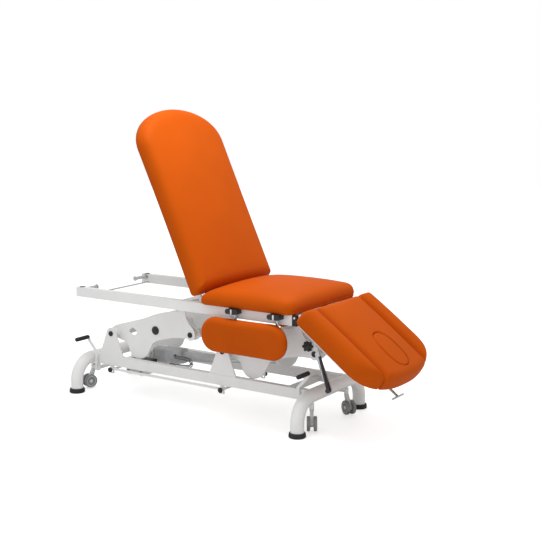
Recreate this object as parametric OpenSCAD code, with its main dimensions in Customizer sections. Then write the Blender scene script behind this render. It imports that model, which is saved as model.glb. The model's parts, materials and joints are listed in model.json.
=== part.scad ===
// Electric treatment table: a parallel-arm lift on a four-footed base, carrying a
// seat, a tilting backrest, a leg section with a face opening and two side armrests.
// Lengths are in millimetres. X runs from the head end to the leg end, Z is up.

/* [Upholstery] */
// Width of the upholstered sections
table_w = 620; // [560:5:700]
// Length of the seat section
seat_l = 529; // [480:1:560]
// Length of the backrest section
back_l = 972; // [850:1:1050]
// Length of the middle pad of the leg section
leg_l = 528; // [480:1:560]
// Height of the side walls of the cushions
pad_t = 68; // [50:1:80]
// Rise of the middle of a cushion over its edge
crown = 18; // [4:1:24]
// Width of each side wing of the leg section
wing_w = 105; // [80:1:130]
// Thickness of the plywood boards
board_t = 15; // [10:1:20]

/* [Pose] */
// Backrest angle above level
back_rest = 65; // [50:1:70]
// Leg section angle below level
leg_rest = 36.6; // [20:0.1:42]
// Lift arm angle above level
arm_rest = 6.2; // [2:0.1:12]

/* [Base] */
// Distance between the foot centres along the table
foot_span_x = 1404; // [1300:1:1450]
// Distance between the foot centres across the table
foot_span_y = 586; // [560:1:640]
// Diameter of the end arch tube
arch_d = 65; // [55:1:68]
// Height of the middle of the arch over the floor
arch_z = 172; // [165:1:190]
// Bend radius of the arch at its centre line
arch_bend_r = 110; // [100:1:120]
// Diameter of the rubber feet
foot_d = 83; // [75:1:90]
// Height of the rubber feet
foot_h = 24; // [15:1:30]
// Height of the base rails
rail_h = 52; // [45:1:56]
// Width of the base rails
rail_w = 30; // [24:1:34]
// Wall of the welded tubes
wall = 2.5; // [1.5:0.1:3.5]

/* [Lift] */
// Distance between the pivots of one arm
arm_l = 540; // [500:1:560]
// Distance between the two arms
arm_pitch = 738; // [700:1:760]
// Thickness of the plates of arms, ears and hangers
plate_t = 8; // [6:0.5:9]
// Height of the lower pivots over the floor
pivot_z = 320; // [300:1:340]
// Diameter of the cross tubes of the arms
arm_tube_d = 50; // [42:1:56]
// Diameter of the pivot pins
pin_d = 24; // [18:1:28]

/* [Upper frame] */
// Width over the upper rails
frame_w = 560; // [530:1:580]
// Height of the upper rails
top_rail_h = 51; // [45:1:60]
// Width of the upper rails
top_rail_w = 30; // [24:1:34]
// Length of the upper rails
top_rail_l = 1363; // [1250:1:1400]

/* [Fittings] */
// Diameter of the caster wheels
wheel_d = 72; // [60:1:76]
// Length of the armrest pads
armrest_l = 485; // [400:1:520]
// Height of the hanging armrest pads
armrest_h = 170; // [140:1:175]
// Thickness of the armrest pads
armrest_t = 46; // [36:1:56]
// Diameter of the star knob
star_d = 50; // [40:1:54]

/* [Hidden] */
$fn = 48;

// Fits and clearances
fit = 0.05;
weld_gap = 0.3;
side_gap = 0.5;
over = 1;

// Colours
white = [0.93, 0.93, 0.92];
black = [0.06, 0.06, 0.065];
orange = [0.86, 0.34, 0.05];
grey = [0.5, 0.51, 0.52];
steel = [0.75, 0.76, 0.77];
pale = [0.78, 0.79, 0.78];
ply = [0.7, 0.56, 0.38];

// Heights of the base and of the upper frame
rail_top = arch_z + rail_h / 2;
rail_low = arch_z - rail_h / 2;
arm_rise = arm_l * sin(arm_rest);
arm_run = arm_l * cos(arm_rest);
hanger_drop = 144;
top_low = pivot_z + arm_rise + hanger_drop;
top_z = top_low + top_rail_h;
cross_top_h = 26;
lift_off = 2.6;
board_z = top_z + lift_off;
seat_z = top_z + weld_gap;

// Places across the table
ear_out = 185;
ear_in = ear_out - plate_t;
arm_out = 148;
arm_in = arm_out - plate_t;
rail_in = ear_out - rail_w;
top_out = frame_w / 2;
top_in = top_out - top_rail_w;

// Places along the table
foot_x = foot_span_x / 2;
foot_y = foot_span_y / 2;
arm_x = -548;
lift_x = [arm_x, arm_x + arm_pitch];
hanger_x = [for (x = lift_x) x + arm_run];
seat_x = 142;
hinge_gap = 17;
hinge_rise = 14.4;
back_hinge = [seat_x - hinge_gap, 0, board_z + hinge_rise];
rail_back = 9;
top_left = seat_x + seat_l - rail_back - top_rail_l;
top_right = top_left + top_rail_l;
block_l = 25;
hinge_drop = 13;
leg_hinge = [top_right + block_l / 2, 0, top_z - hinge_drop];

// Sizes of the upholstery
half_w = table_w / 2;
lip = 20;
leg_start = 20;
leg_under = board_z - leg_hinge[2];
leg_end = leg_start + leg_l;
back_under = board_z - back_hinge[2];
back_start = 19;

// Rings of a cushion wall: how far in, and how high as a share of the wall
rings = [[8, 0], [2, 0.1], [0, 0.32], [2, 0.56], [7, 0.76], [15, 0.9], [27, 0.99], [40, 1.03]];
// Rings of its crown: the share drawn in to the middle
crown_shares = [0.35, 0.7];

// The whole part is centred over its own length
leg_reach = max([for (q = rings)
  (leg_end - q[0]) * cos(leg_rest) + (leg_under + q[1] * pad_t) * sin(leg_rest)]);
part_left = -foot_x - foot_d / 2;
part_right = leg_hinge[0] + leg_reach;
frame_x = -(part_left + part_right) / 2;

function unit(v) = v / norm(v);

function turn(p, a) = [p[0] * cos(a) - p[1] * sin(a), p[0] * sin(a) + p[1] * cos(a)];

// Touching point of the line from p to a circle of radius r about the origin
function tangent(p, r, side) =
  let(f = acos(r / norm(p)), g = atan2(p[1], p[0]))
  [r * cos(g + side * f), r * sin(g + side * f)];

// Smooth closed curve through the points p, with n steps between them
function blend_at(a, b, c, d, t) =
  (2 * b + (c - a) * t + (2 * a - 5 * b + 4 * c - d) * t * t
  + (3 * b - a - 3 * c + d) * t * t * t) / 2;
function smooth(p, n) = let(m = len(p)) [
  for (i = [0 : m - 1], k = [0 : n - 1])
    blend_at(p[(i + m - 1) % m], p[i], p[(i + 1) % m], p[(i + 2) % m], k / n)
];

// Flat shape drawn in X and Z, from y0 to y1
module plate_y(y0, y1) {
  translate([0, y1, 0])
    rotate([90, 0, 0])
      linear_extrude(y1 - y0)
        children();
}

// The same shape on both sides of the table
module both_sides(y0, y1) {
  plate_y(y0, y1) children();
  plate_y(-y1, -y0) children();
}

// Round bar across the table
module bar_y(r, y0, y1) {
  translate([0, y1, 0])
    rotate([90, 0, 0])
      cylinder(r = r, h = y1 - y0);
}

// Round tube across the table
module tube_y(r, y0, y1, t = wall) {
  difference() {
    bar_y(r, y0, y1);
    bar_y(r - t, y0 - over, y1 + over);
  }
}

// Box between two corners
module box(a, b) {
  translate(a)
    cube([b[0] - a[0], b[1] - a[1], b[2] - a[2]]);
}

// Square tube between two corners, hollow along the axis named
module box_tube(a, b, along = "x", t = wall) {
  hx = along == "x" ? -over : t;
  hy = along == "y" ? -over : t;
  difference() {
    box(a, b);
    box([a[0] + hx, a[1] + hy, a[2] + t], [b[0] - hx, b[1] - hy, b[2] - t]);
  }
}

// Lug seen from its eye: two feet and a round head, its flanks just inside the head
flank_share = 0.97;
module lug_2d(a, b, r) {
  circle(r);
  polygon([a, tangent(a, r * flank_share, -1), tangent(b, r * flank_share, 1), b]);
}

// Rounded rectangle about the origin
module pill_2d(l, w, r) {
  translate([-l / 2 + r, -w / 2])
    square([l - 2 * r, w]);
  translate([-l / 2, -w / 2 + r])
    square([l, w - 2 * r]);
  for (x = [-1, 1], y = [-1, 1])
    translate([x * (l / 2 - r), y * (w / 2 - r)])
      circle(r);
}

// Block along X with rounded long edges
module soft_box(l, w, h, r) {
  translate([-l / 2, 0, 0])
    rotate([90, 0, 90])
      linear_extrude(l)
        pill_2d(w, h, r);
}

// Places of moving sections
module in_frame() {
  translate([frame_x, 0, 0])
    children();
}
module at_back() {
  translate([back_hinge[0], 0, back_hinge[2]])
    rotate([0, back_rest, 0])
      children();
}
module at_leg() {
  translate([leg_hinge[0], 0, leg_hinge[2]])
    rotate([0, leg_rest, 0])
      children();
}
module at_xz(p) {
  translate([p[0], 0, p[1]])
    children();
}

// Sizes of the round fittings of the base
cap_h = 4;
eye_r = 32;
ear_half = 82;
shaft_r = 10;
shaft_in = 50;
shaft_x = foot_x - shaft_in;
shaft_z = 118;
lug_r = 16;
tread_x = [-547, 187];
tread_z = 124;
tread_r = 6;
tread_drop = 10;

// End arch: a bent round tube standing on two feet
foot_floor = 6;
module arch_shape(r) {
  leg_top = arch_z - arch_bend_r;
  bend_y = foot_y - arch_bend_r;
  bar_y(r, -bend_y, bend_y);
  for (s = [-1, 1])
    translate([0, s * bend_y, -arch_bend_r])
      rotate([0, 90, 0])
        rotate([0, 0, s > 0 ? 90 : 180])
          rotate_extrude(angle = 90)
            translate([arch_bend_r, 0])
              circle(r);
  for (s = [-1, 1])
    translate([0, s * foot_y, -leg_top - arch_bend_r + foot_floor])
      cylinder(r = r, h = leg_top - foot_floor);
}

module end_arch(side) {
  color(white) in_frame()
    translate([side * foot_x, 0, arch_z])
      difference() {
        arch_shape(arch_d / 2);
        arch_bore(arch_d / 2 - wall);
      }
}
// The hollow of the arch, open at the feet
module arch_bore(r) {
  arch_shape(r);
  for (s = [-1, 1])
    translate([0, s * foot_y, -arch_z])
      cylinder(r = r, h = foot_floor + over);
}
module left_end_arch() end_arch(-1);
module right_end_arch() end_arch(1);

// Cup-shaped rubber foot
foot_edge = 3;
foot_rim = 7;
module rubber_foot() {
  seat_r = arch_d / 2 + weld_gap;
  difference() {
    rotate_extrude()
      polygon([
        [0, 0], [foot_d / 2 - foot_edge, 0], [foot_d / 2, foot_edge], [foot_d / 2, foot_h / 2],
        [seat_r + foot_rim, foot_h - foot_edge], [seat_r + foot_rim - foot_edge, foot_h],
        [0, foot_h]
      ]);
    translate([0, 0, foot_floor - weld_gap])
      cylinder(r = seat_r, h = foot_h);
  }
}
module rubber_feet() {
  color(black) in_frame()
    for (x = [-1, 1], y = [-1, 1])
      translate([x * foot_x, y * foot_y, 0])
        rubber_foot();
}

// Base rail with its two pivot ears and the lugs of the caster shafts
module base_rail(side) {
  pin_r = pin_d / 2 + fit;
  y0 = side > 0 ? rail_in : -ear_out;
  ear_y0 = side > 0 ? ear_in : -ear_out;
  guide = tread_r + 2 * wall;
  color(white) in_frame()
    difference() {
      union() {
        difference() {
          box_tube([-foot_x, y0, rail_low], [foot_x, y0 + rail_w, rail_top], "x");
          for (s = [-1, 1])
            translate([s * foot_x, 0, arch_z])
              arch_shape(arch_d / 2 + weld_gap);
        }
        for (x = lift_x)
          translate([x, 0, pivot_z])
            plate_y(ear_y0, ear_y0 + plate_t)
              lug_2d([-ear_half, rail_top - pivot_z], [ear_half, rail_top - pivot_z], eye_r);
        for (s = [-1, 1])
          translate([s * shaft_x, 0, shaft_z])
            plate_y(ear_y0, ear_y0 + plate_t)
              lug_2d([lug_r, rail_low - shaft_z], [-lug_r, rail_low - shaft_z], lug_r);
        for (x = tread_x)
          box([x - guide, ear_y0, tread_z - tread_drop - guide],
            [x + guide, ear_y0 + plate_t, rail_low]);
      }
      for (x = lift_x)
        translate([x, 0, pivot_z])
          bar_y(pin_r, ear_y0 - over, ear_y0 + plate_t + over);
      for (s = [-1, 1])
        translate([s * shaft_x, 0, shaft_z])
          bar_y(shaft_r + fit, ear_y0 - over, ear_y0 + plate_t + over);
      for (x = tread_x)
        box([x - tread_r - side_gap, ear_y0 - over, tread_z - tread_drop - tread_r - side_gap],
          [x + tread_r + side_gap, ear_y0 + plate_t + over, tread_z + tread_r + side_gap]);
    }
}
module near_base_rail() base_rail(-1);
module far_base_rail() base_rail(1);

// Lift actuator geometry: rear pin, and the pin on the lever of the right arm
act_rear = [-415, 195];
lever_pin = [50, -85];
act_front = [lift_x[1] + lever_pin[0], pivot_z + lever_pin[1]];
act_vec = act_front - act_rear;
act_len = norm(act_vec);
act_angle = atan2(act_vec[1], act_vec[0]);
act_half = 8;
fork_t = 6;
act_pin_r = 6;

// Cross tubes under the rails, with the fork of the actuator, and a tie between them
cross_h = 28;
cross_w = 30;
fork_r = 14;
cross_gap = 55;
cross_x = [act_rear[0] - cross_w, act_rear[0] + cross_gap];
tie_x = 520;
module base_cross_members() {
  fork_foot = rail_low - act_rear[1];
  fork_y = act_half + weld_gap;
  color(white) in_frame() {
    for (x = cross_x)
      box_tube([x, -ear_out, rail_low - cross_h], [x + cross_w, ear_out, rail_low], "y");
    box_tube([tie_x, -rail_in, rail_low], [tie_x + cross_w, rail_in, rail_low + cross_h], "y");
    difference() {
      at_xz(act_rear)
        both_sides(fork_y, fork_y + fork_t)
          lug_2d([-cross_w, fork_foot], [0, fork_foot], fork_r);
      at_xz(act_rear)
        bar_y(act_pin_r + fit, -act_half - 2 * fork_t, act_half + 2 * fork_t);
    }
  }
}

// Control box with the recess of its mains inlet
box_l = 125;
box_w = 70;
box_h = 38;
box_round = 6;
box_at = [-407, -85];
inlet = [6, 28, 20];
module control_box() {
  left = -box_l / 2 - over;
  color(black) in_frame()
    translate([box_at[0], box_at[1], rail_low + box_h / 2])
      difference() {
        soft_box(box_l, box_w, box_h, box_round);
        box([left, -inlet[1] / 2, -inlet[2] / 2],
          [left + inlet[0], inlet[1] / 2, inlet[2] / 2]);
      }
}

// Curly cord from the control box to the lift motor: one unbroken tube
curl_r = 6.4;
wire_r = 1.5;
curl_pitch = 8;
curl_count = 36;
curl_from = 40;
plain_step = 8;
curl_rings = 8;
wire_sides = 6;
// Route of the curly cord, chosen by hand
cord_route = [
  [-230, -32.5, 212], [-230, -44, 212], [-222, -58, 213], [-200, -66, 214],
  [-150, -66, 214], [-112, -66, 210], [-96, -66, 194], [-110, -66, 176],
  [-150, -66, 170], [-200, -66, 168], [-260, -66, 168], [-320, -66, 168],
  [box_at[0] + box_l / 2 + over, -66, 168]
];
route_steps = 6;
route_fine = [
  for (i = [0 : len(cord_route) - 2], k = [0 : route_steps - 1])
    blend_at(cord_route[max(i - 1, 0)], cord_route[i], cord_route[i + 1],
      cord_route[min(i + 2, len(cord_route) - 1)], k / route_steps),
  cord_route[len(cord_route) - 1]
];

seg = [for (i = [0 : len(route_fine) - 2]) norm(route_fine[i + 1] - route_fine[i])];
reach = [for (i = 0, s = 0; i <= len(seg); s = s + (i < len(seg) ? seg[i] : 0), i = i + 1) s];
cord_span = reach[len(reach) - 1];
function route_index(s, i = 0) = i >= len(seg) - 1 || reach[i + 1] > s ? i : route_index(s, i + 1);
function route_at(s) = let(i = route_index(s), t = (s - reach[i]) / seg[i])
  route_fine[i] * (1 - t) + route_fine[i + 1] * t;
function route_way(s) =
  unit(route_at(min(s + curl_pitch, cord_span)) - route_at(max(s - curl_pitch, 0)));
// Curls on one stretch of the route, opening and closing over one turn
curl_to = curl_from + curl_count * curl_pitch;
curl_up = [0, 0.2, 1];
curl_hint_share = 0.02;
function curl_side(w) = unit(cross(w, curl_up));
function wire_point(s) =
  let(w = route_way(s), b = curl_side(w), n = cross(b, w), t = (s - curl_from) / curl_pitch,
    q = min(1, max(0, min(t, curl_count - t))), a = t * 360)
  route_at(s) + curl_r * q * (b * cos(a) + n * sin(a));
wire_s = concat([for (s = [0 : plain_step : curl_from - 1]) s],
  [for (k = [0 : curl_count * curl_rings]) curl_from + k * curl_pitch / curl_rings],
  [for (s = [curl_to + plain_step : plain_step : cord_span - plain_step]) s], [cord_span]);
wire_c = [for (s = wire_s) wire_point(s)];
// Least gap between turns, on points that are more than half a turn apart
turn_apart = 5;
cord_gap = min([for (i = [0 : len(wire_c) - 1 - turn_apart], j = [i + turn_apart : len(wire_c) - 1])
  norm(wire_c[i] - wire_c[j])]) - 2 * wire_r;
module cord_tube() {
  m = len(wire_c);
  way = [for (i = [0 : m - 1])
    i == 0 ? unit(wire_c[1] - wire_c[0])
    : i == m - 1 ? unit(wire_c[m - 1] - wire_c[m - 2])
    : unit(wire_c[i + 1] - wire_c[i - 1])];
  pts = [for (i = [0 : m - 1])
    let(w = way[i], axis = route_way(wire_s[i]),
      hint = curl_hint_share * curl_side(axis),
      side = unit(cross(w, cross(axis, wire_c[i] - route_at(wire_s[i]) + hint))),
      up = cross(side, w))
    for (k = [0 : wire_sides - 1])
      wire_c[i] + wire_r * (side * cos(k * 360 / wire_sides) + up * sin(k * 360 / wire_sides))];
  faces = concat(
    [for (i = [0 : m - 2], k = [0 : wire_sides - 1]) each let(n = (k + 1) % wire_sides, o = i * wire_sides)
      [[o + k, o + n, o + wire_sides + n], [o + k, o + wire_sides + n, o + wire_sides + k]]],
    [for (k = [1 : wire_sides - 2]) [0, k + 1, k]],
    [for (k = [1 : wire_sides - 2]) let(o = (m - 1) * wire_sides) [o, o + k, o + k + 1]]
  );
  polyhedron(pts, faces);
}
module curly_cord() {
  echo(cord_gap = cord_gap);
  color(black) in_frame()
    cord_tube();
}

// Foot bar for raising and lowering: two long treads joined by two cross rods
tread_y = 188;
tread_t = 6;
tread_h = 12;
tread_end = 15;
tread_cap_r = 13;
module foot_control_bar() {
  reach_y = tread_y + tread_end;
  color(white) in_frame() {
    for (x = tread_x)
      translate([x, 0, tread_z]) {
        bar_y(tread_r, -reach_y, reach_y);
        for (s = [0, 180])
          rotate([0, 0, s])
            bar_y(tread_cap_r, reach_y - tread_t, reach_y);
      }
    for (y = [tread_y, -tread_y - tread_t])
      box([tread_x[0], y, tread_z], [tread_x[1], y + tread_t, tread_z + tread_h]);
  }
}

// Lift arm: two plates on cross tubes. Outline points are shares of the arm length
arm_outline_shares = [
  [-0.062, -0.012], [-0.045, 0.045], [0.03, 0.085], [0.12, 0.112], [0.22, 0.141],
  [0.38, 0.189], [0.513, 0.241], [0.65, 0.278], [0.77, 0.296], [0.86, 0.28],
  [0.95, 0.212], [1.035, 0.155], [1.055, 0.095], [1.01, 0.05], [0.93, 0.048],
  [0.776, 0.041], [0.62, 0.006], [0.495, -0.039], [0.443, -0.111], [0.402, -0.181],
  [0.333, -0.222], [0.246, -0.222], [0.185, -0.167], [0.15, -0.085], [0.06, -0.06]
];
arm_window_shares = [[0.175, 0.035], [0.235, 0.0], [0.278, 0.038], [0.225, 0.075]];
arm_plug_share = [0.517, 0.082];
arm_drawn = 6.2;
arm_turn = arm_rest - arm_drawn;
lever_space = 5;
lever_in = act_half + lever_space;
arm_wall = 4.5;
eye_rim = [8, 6];
cap_rim = 2;
smooth_steps = 4;
lever_foot = 22;
lever_r = 20;

module arm_outline() {
  pin_r = arm_tube_d / 2;
  difference() {
    union() {
      polygon(smooth(arm_outline_shares * arm_l, smooth_steps));
      circle(pin_r + eye_rim[0]);
      translate(turn([arm_l, 0], arm_drawn))
        circle(pin_r + eye_rim[1]);
    }
    polygon(smooth(arm_window_shares * arm_l, smooth_steps + 1));
  }
}
module lift_arm(x, lever) {
  hub = ear_in - side_gap;
  bore_r = pin_d / 2 + fit;
  eyes = [[0, 0], turn([arm_l, 0], arm_drawn)];
  color(white) in_frame()
    translate([x, 0, pivot_z])
      rotate([0, -arm_turn, 0])
        difference() {
          union() {
            both_sides(arm_in, arm_out)
              arm_outline();
            for (p = eyes)
              at_xz(p)
                bar_y(arm_tube_d / 2, -hub, hub);
            at_xz(arm_plug_share * arm_l)
              bar_y(arm_tube_d / 2, -arm_out, arm_out);
            if (lever)
              both_sides(lever_in, lever_in + fork_t)
                translate(lever_pin)
                  lug_2d([lever_foot - lever_pin[0], -lever_pin[1]],
                    [-lever_foot - lever_pin[0], -lever_pin[1]], lever_r);
            if (lever)
              at_xz(lever_pin)
                both_sides(lever_in + fork_t, lever_in + fork_t + cap_h)
                  circle(act_pin_r + cap_h);
          }
          for (p = eyes) {
            at_xz(p)
              bar_y(arm_tube_d / 2 - arm_wall, -arm_in, arm_in);
            at_xz(p)
              bar_y(bore_r, -hub - over, hub + over);
          }
          at_xz(arm_plug_share * arm_l)
            bar_y(arm_tube_d / 2 - arm_wall, -arm_out - over, arm_out + over);
        }
}
module left_lift_arm() lift_arm(lift_x[0], false);
module right_lift_arm() lift_arm(lift_x[1], true);

// Pivot pins of an arm with their caps, and the plugs of its middle tube
module arm_pins(x) {
  eyes = [[0, 0], turn([arm_l, 0], arm_drawn)];
  plug_r = arm_tube_d / 2 - arm_wall;
  color(black) in_frame()
    translate([x, 0, pivot_z])
      rotate([0, -arm_turn, 0]) {
        for (p = eyes, s = [0, 180])
          at_xz(p)
            rotate([0, 0, s]) {
              bar_y(pin_d / 2, arm_in - 2 * plate_t, ear_out + side_gap);
              translate([0, ear_out + side_gap, 0])
                bar_y(pin_d / 2 + cap_rim, 0, cap_h);
            }
        for (s = [0, 180])
          at_xz(arm_plug_share * arm_l)
            rotate([0, 0, s]) {
              bar_y(plug_r - weld_gap, arm_in, arm_out);
              bar_y(plug_r + cap_rim, arm_out, arm_out + cap_h);
            }
      }
}
module left_arm_pins() arm_pins(lift_x[0]);
module right_arm_pins() arm_pins(lift_x[1]);

// Lift actuator: motor housing and outer tube, then the sliding rod
module at_actuator(p, a) {
  translate([p[0], 0, p[1]])
    rotate([0, -a, 0])
      children();
}
tube_r = 23;
rod_r = 12;
house_x = 30;
house_l = 190;
house_h = 78;
house_w = 64;
house_round = 14;
act_eye_r = 15;
tube_end = 470;
collar_l = 24;
collar_t = 3;
rod_l = 346;
module x_bar(r, x0, x1) {
  translate([x0, 0, 0])
    rotate([0, 90, 0])
      cylinder(r = r, h = x1 - x0);
}
module lift_actuator_body() {
  pin_half = act_half + fork_t + 2 * over;
  house_end = house_x + house_l;
  color(grey) in_frame()
    at_actuator(act_rear, act_angle)
      difference() {
        union() {
          bar_y(act_eye_r, -act_half, act_half);
          bar_y(act_pin_r, -pin_half, pin_half);
          box([0, -act_half, -act_eye_r], [house_x + over, act_half, act_eye_r]);
          translate([house_x + house_l / 2, 0, 0])
            soft_box(house_l, house_w, house_h, house_round);
          x_bar(tube_r, house_end - over, tube_end);
          x_bar(tube_r + collar_t, tube_end - collar_l, tube_end);
        }
        x_bar(rod_r + fit, house_end, tube_end + over);
      }
}
module lift_actuator_rod() {
  stub = lever_in - weld_gap;
  color(steel) in_frame()
    at_actuator(act_rear, act_angle) {
      x_bar(rod_r, act_len - rod_l, act_len - act_half);
      translate([act_len, 0, 0]) {
        bar_y(act_eye_r, -act_half, act_half);
        bar_y(act_pin_r, -stub, stub);
      }
    }
}

// Caster axle: a cross shaft with two caster arms and a bent hand lever
stem_x = foot_x - shaft_x;
stem_y = 165;
stem_r = 6;
hub_z = [-11, 16];
hub_r = 11;
hub_t = 14;
lever_y = 192;
lever_t = 6;
lever_w = 15;
lever_path = [[0, 0], [-9, 88], [43, 146], [50, 168]];
stem_cover = 4;
function outward(path, side) = [for (p = path) [side * p[0], p[1]]];
module strip_2d(path, w) {
  for (i = [0 : len(path) - 2])
    translate(path[i])
      rotate(atan2(path[i + 1][1] - path[i][1], path[i + 1][0] - path[i][0])) {
        translate([0, -w / 2 * flank_share])
          square([norm(path[i + 1] - path[i]), w * flank_share]);
        circle(w / 2);
      }
  translate(path[len(path) - 1])
    circle(w / 2);
}
module caster_axle(side) {
  color(white) in_frame()
    translate([side * shaft_x, 0, shaft_z])
      difference() {
        union() {
          bar_y(shaft_r, -lever_y - lever_t, lever_y);
          for (s = [-1, 1])
            translate([side * stem_x, s * stem_y, 0]) {
              translate([0, 0, hub_z[0]])
                cylinder(r = hub_r, h = hub_z[1] - hub_z[0]);
              translate([side > 0 ? -stem_x : 0, -hub_r * flank_share, -hub_t / 2])
                cube([stem_x, 2 * hub_r * flank_share, hub_t]);
            }
          plate_y(-lever_y - lever_t, -lever_y)
            strip_2d(outward(lever_path, side), lever_w);
        }
        for (s = [-1, 1])
          translate([side * stem_x, s * stem_y, hub_z[0] - over])
            cylinder(r = stem_r + fit, h = hub_z[1] - hub_z[0] - stem_cover);
      }
}
module left_caster_axle() caster_axle(-1);
module right_caster_axle() caster_axle(1);

grip_l = 93;
grip_r = 11;
grip_round = 3;
module lever_grip(side) {
  tip = lever_path[len(lever_path) - 1];
  color(black) in_frame()
    translate([side * (shaft_x + tip[0]), -lever_y - lever_t - grip_l, shaft_z + tip[1]])
      rotate([-90, 0, 0])
        rotate_extrude()
          polygon([
            [0, 0], [grip_r - grip_round, 0], [grip_r, grip_round],
            [grip_r, grip_l - grip_round], [grip_r - grip_round, grip_l], [0, grip_l]
          ]);
}
module left_lever_grip() lever_grip(-1);
module right_lever_grip() lever_grip(1);

// Twin-wheel caster: housing with its stem, and the pair of wheels on an axle
trail = 25;
wheel_z = 40;
wheel_t = 15;
wheel_round = 3;
dish_in = 9;
dish_t = 2;
twin_gap = 18;
fork_h = 10;
fork_r2 = 16;
axle_r = 4;
module at_caster(side, s, a) {
  translate([side * foot_x, s * stem_y, 0])
    rotate([0, 0, a])
      children();
}
module upright(r, z0, z1) {
  translate([0, 0, z0])
    cylinder(r = r, h = z1 - z0);
}
module caster(side, s, a) {
  top = shaft_z + hub_z[0] - side_gap;
  cheek = twin_gap / 2 - side_gap;
  foot = top - fork_h / 2 - wheel_z;
  neck_r = hub_r - over;
  color(pale) in_frame()
    at_caster(side, s, a) {
      upright(stem_r, top - over, shaft_z + hub_z[1] - 2 * stem_cover);
      upright(hub_r, top - fork_h, top);
      translate([trail, 0, wheel_z])
        difference() {
          plate_y(-cheek, cheek)
            lug_2d([neck_r - trail, foot], [-neck_r - trail, foot], fork_r2);
          bar_y(axle_r + fit, -twin_gap, twin_gap);
        }
    }
}
module wheels(side, s, a) {
  r = wheel_d / 2;
  color(grey) in_frame()
    at_caster(side, s, a)
      translate([trail, 0, wheel_z]) {
        bar_y(axle_r, -twin_gap / 2 - over, twin_gap / 2 + over);
        for (m = [0, 180])
          rotate([0, 0, m])
            translate([0, twin_gap / 2, 0])
              rotate([-90, 0, 0])
                rotate_extrude()
                  polygon([
                    [0, 0], [r - wheel_round, 0], [r, wheel_round],
                    [r, wheel_t - wheel_round], [r - wheel_round, wheel_t],
                    [r - dish_in + dish_t, wheel_t], [r - dish_in, wheel_t - dish_t],
                    [0, wheel_t - dish_t]
                  ]);
      }
}
swivel = [-110, 100, -56, -30];
module near_left_caster() caster(-1, -1, swivel[0]);
module far_left_caster() caster(-1, 1, swivel[1]);
module near_right_caster() caster(1, -1, swivel[2]);
module far_right_caster() caster(1, 1, swivel[3]);
module near_left_wheels() wheels(-1, -1, swivel[0]);
module far_left_wheels() wheels(-1, 1, swivel[1]);
module near_right_wheels() wheels(1, -1, swivel[2]);
module far_right_wheels() wheels(1, 1, swivel[3]);

// Upper rail with the hinge lug of the backrest
hinge_r = 12;
hinge_pin_r = 5;
hinge_y = [top_in - plate_t, top_in];
lug_h = 30;
module upper_rail(side) {
  y0 = side > 0 ? top_in : -top_out;
  ly = side > 0 ? hinge_y : [-hinge_y[1], -hinge_y[0]];
  half = 2 * hinge_r;
  neck_z = top_z - hinge_drop / 2 - back_hinge[2];
  color(white) in_frame()
    difference() {
      union() {
        difference() {
          box([top_left, y0, top_low], [top_right, y0 + top_rail_w, top_z]);
          box([top_left + wall, y0 + wall, top_low + wall],
            [top_right + over, y0 + top_rail_w - wall, top_z - wall]);
        }
        translate([back_hinge[0], 0, back_hinge[2]])
          plate_y(ly[0], ly[1]) {
            lug_2d([-half, neck_z], [half, neck_z], hinge_r);
            translate([-half, neck_z - lug_h])
              square([2 * half, lug_h]);
          }
      }
      translate([back_hinge[0], 0, back_hinge[2]])
        bar_y(hinge_pin_r + fit, ly[0] - over, ly[1] + over);
    }
}
module near_upper_rail() upper_rail(-1);
module far_upper_rail() upper_rail(1);

// Outlines of the hanger brackets: points are shares of their drop
left_hanger_shares = [
  [-0.528, 1], [-0.215, 1], [-0.208, 0.8], [-0.167, 0.59], [-0.042, 0.396],
  [0.139, 0.208], [0.201, 0.056], [0.188, -0.097], [0.083, -0.194], [-0.069, -0.201],
  [-0.188, -0.097], [-0.243, 0.069], [-0.347, 0.313], [-0.472, 0.625], [-0.528, 0.868]
];
right_hanger_shares = [
  [-0.819, 1], [-0.507, 1], [-0.5, 0.8], [-0.444, 0.59], [-0.264, 0.403], [0, 0.278],
  [0.153, 0.153], [0.201, 0.014], [0.167, -0.125], [0.042, -0.201], [-0.097, -0.188],
  [-0.208, -0.083], [-0.333, 0.097], [-0.542, 0.313], [-0.722, 0.556], [-0.806, 0.819]
];
hanger_tube_w = 50;
hanger_tube_x = [-79, -121];
hanger_z = pivot_z + arm_rise;

// Lever of the backrest and the rear pin of its actuator
back_lever_r = 80;
back_lever_a = -57.5;
back_lever = back_lever_r * [cos(back_lever_a), sin(back_lever_a)];
back_eye = [back_hinge[0], back_hinge[2]] + turn(back_lever, -back_rest);
back_rear_in = 18;
back_rear = [hanger_x[1] + hanger_tube_x[1] - back_rear_in, back_eye[1]];

// Star knob on the near bracket: place from the pivot, and its stem
star_at = [-30, 36];
star_stem_r = 6;

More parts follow.
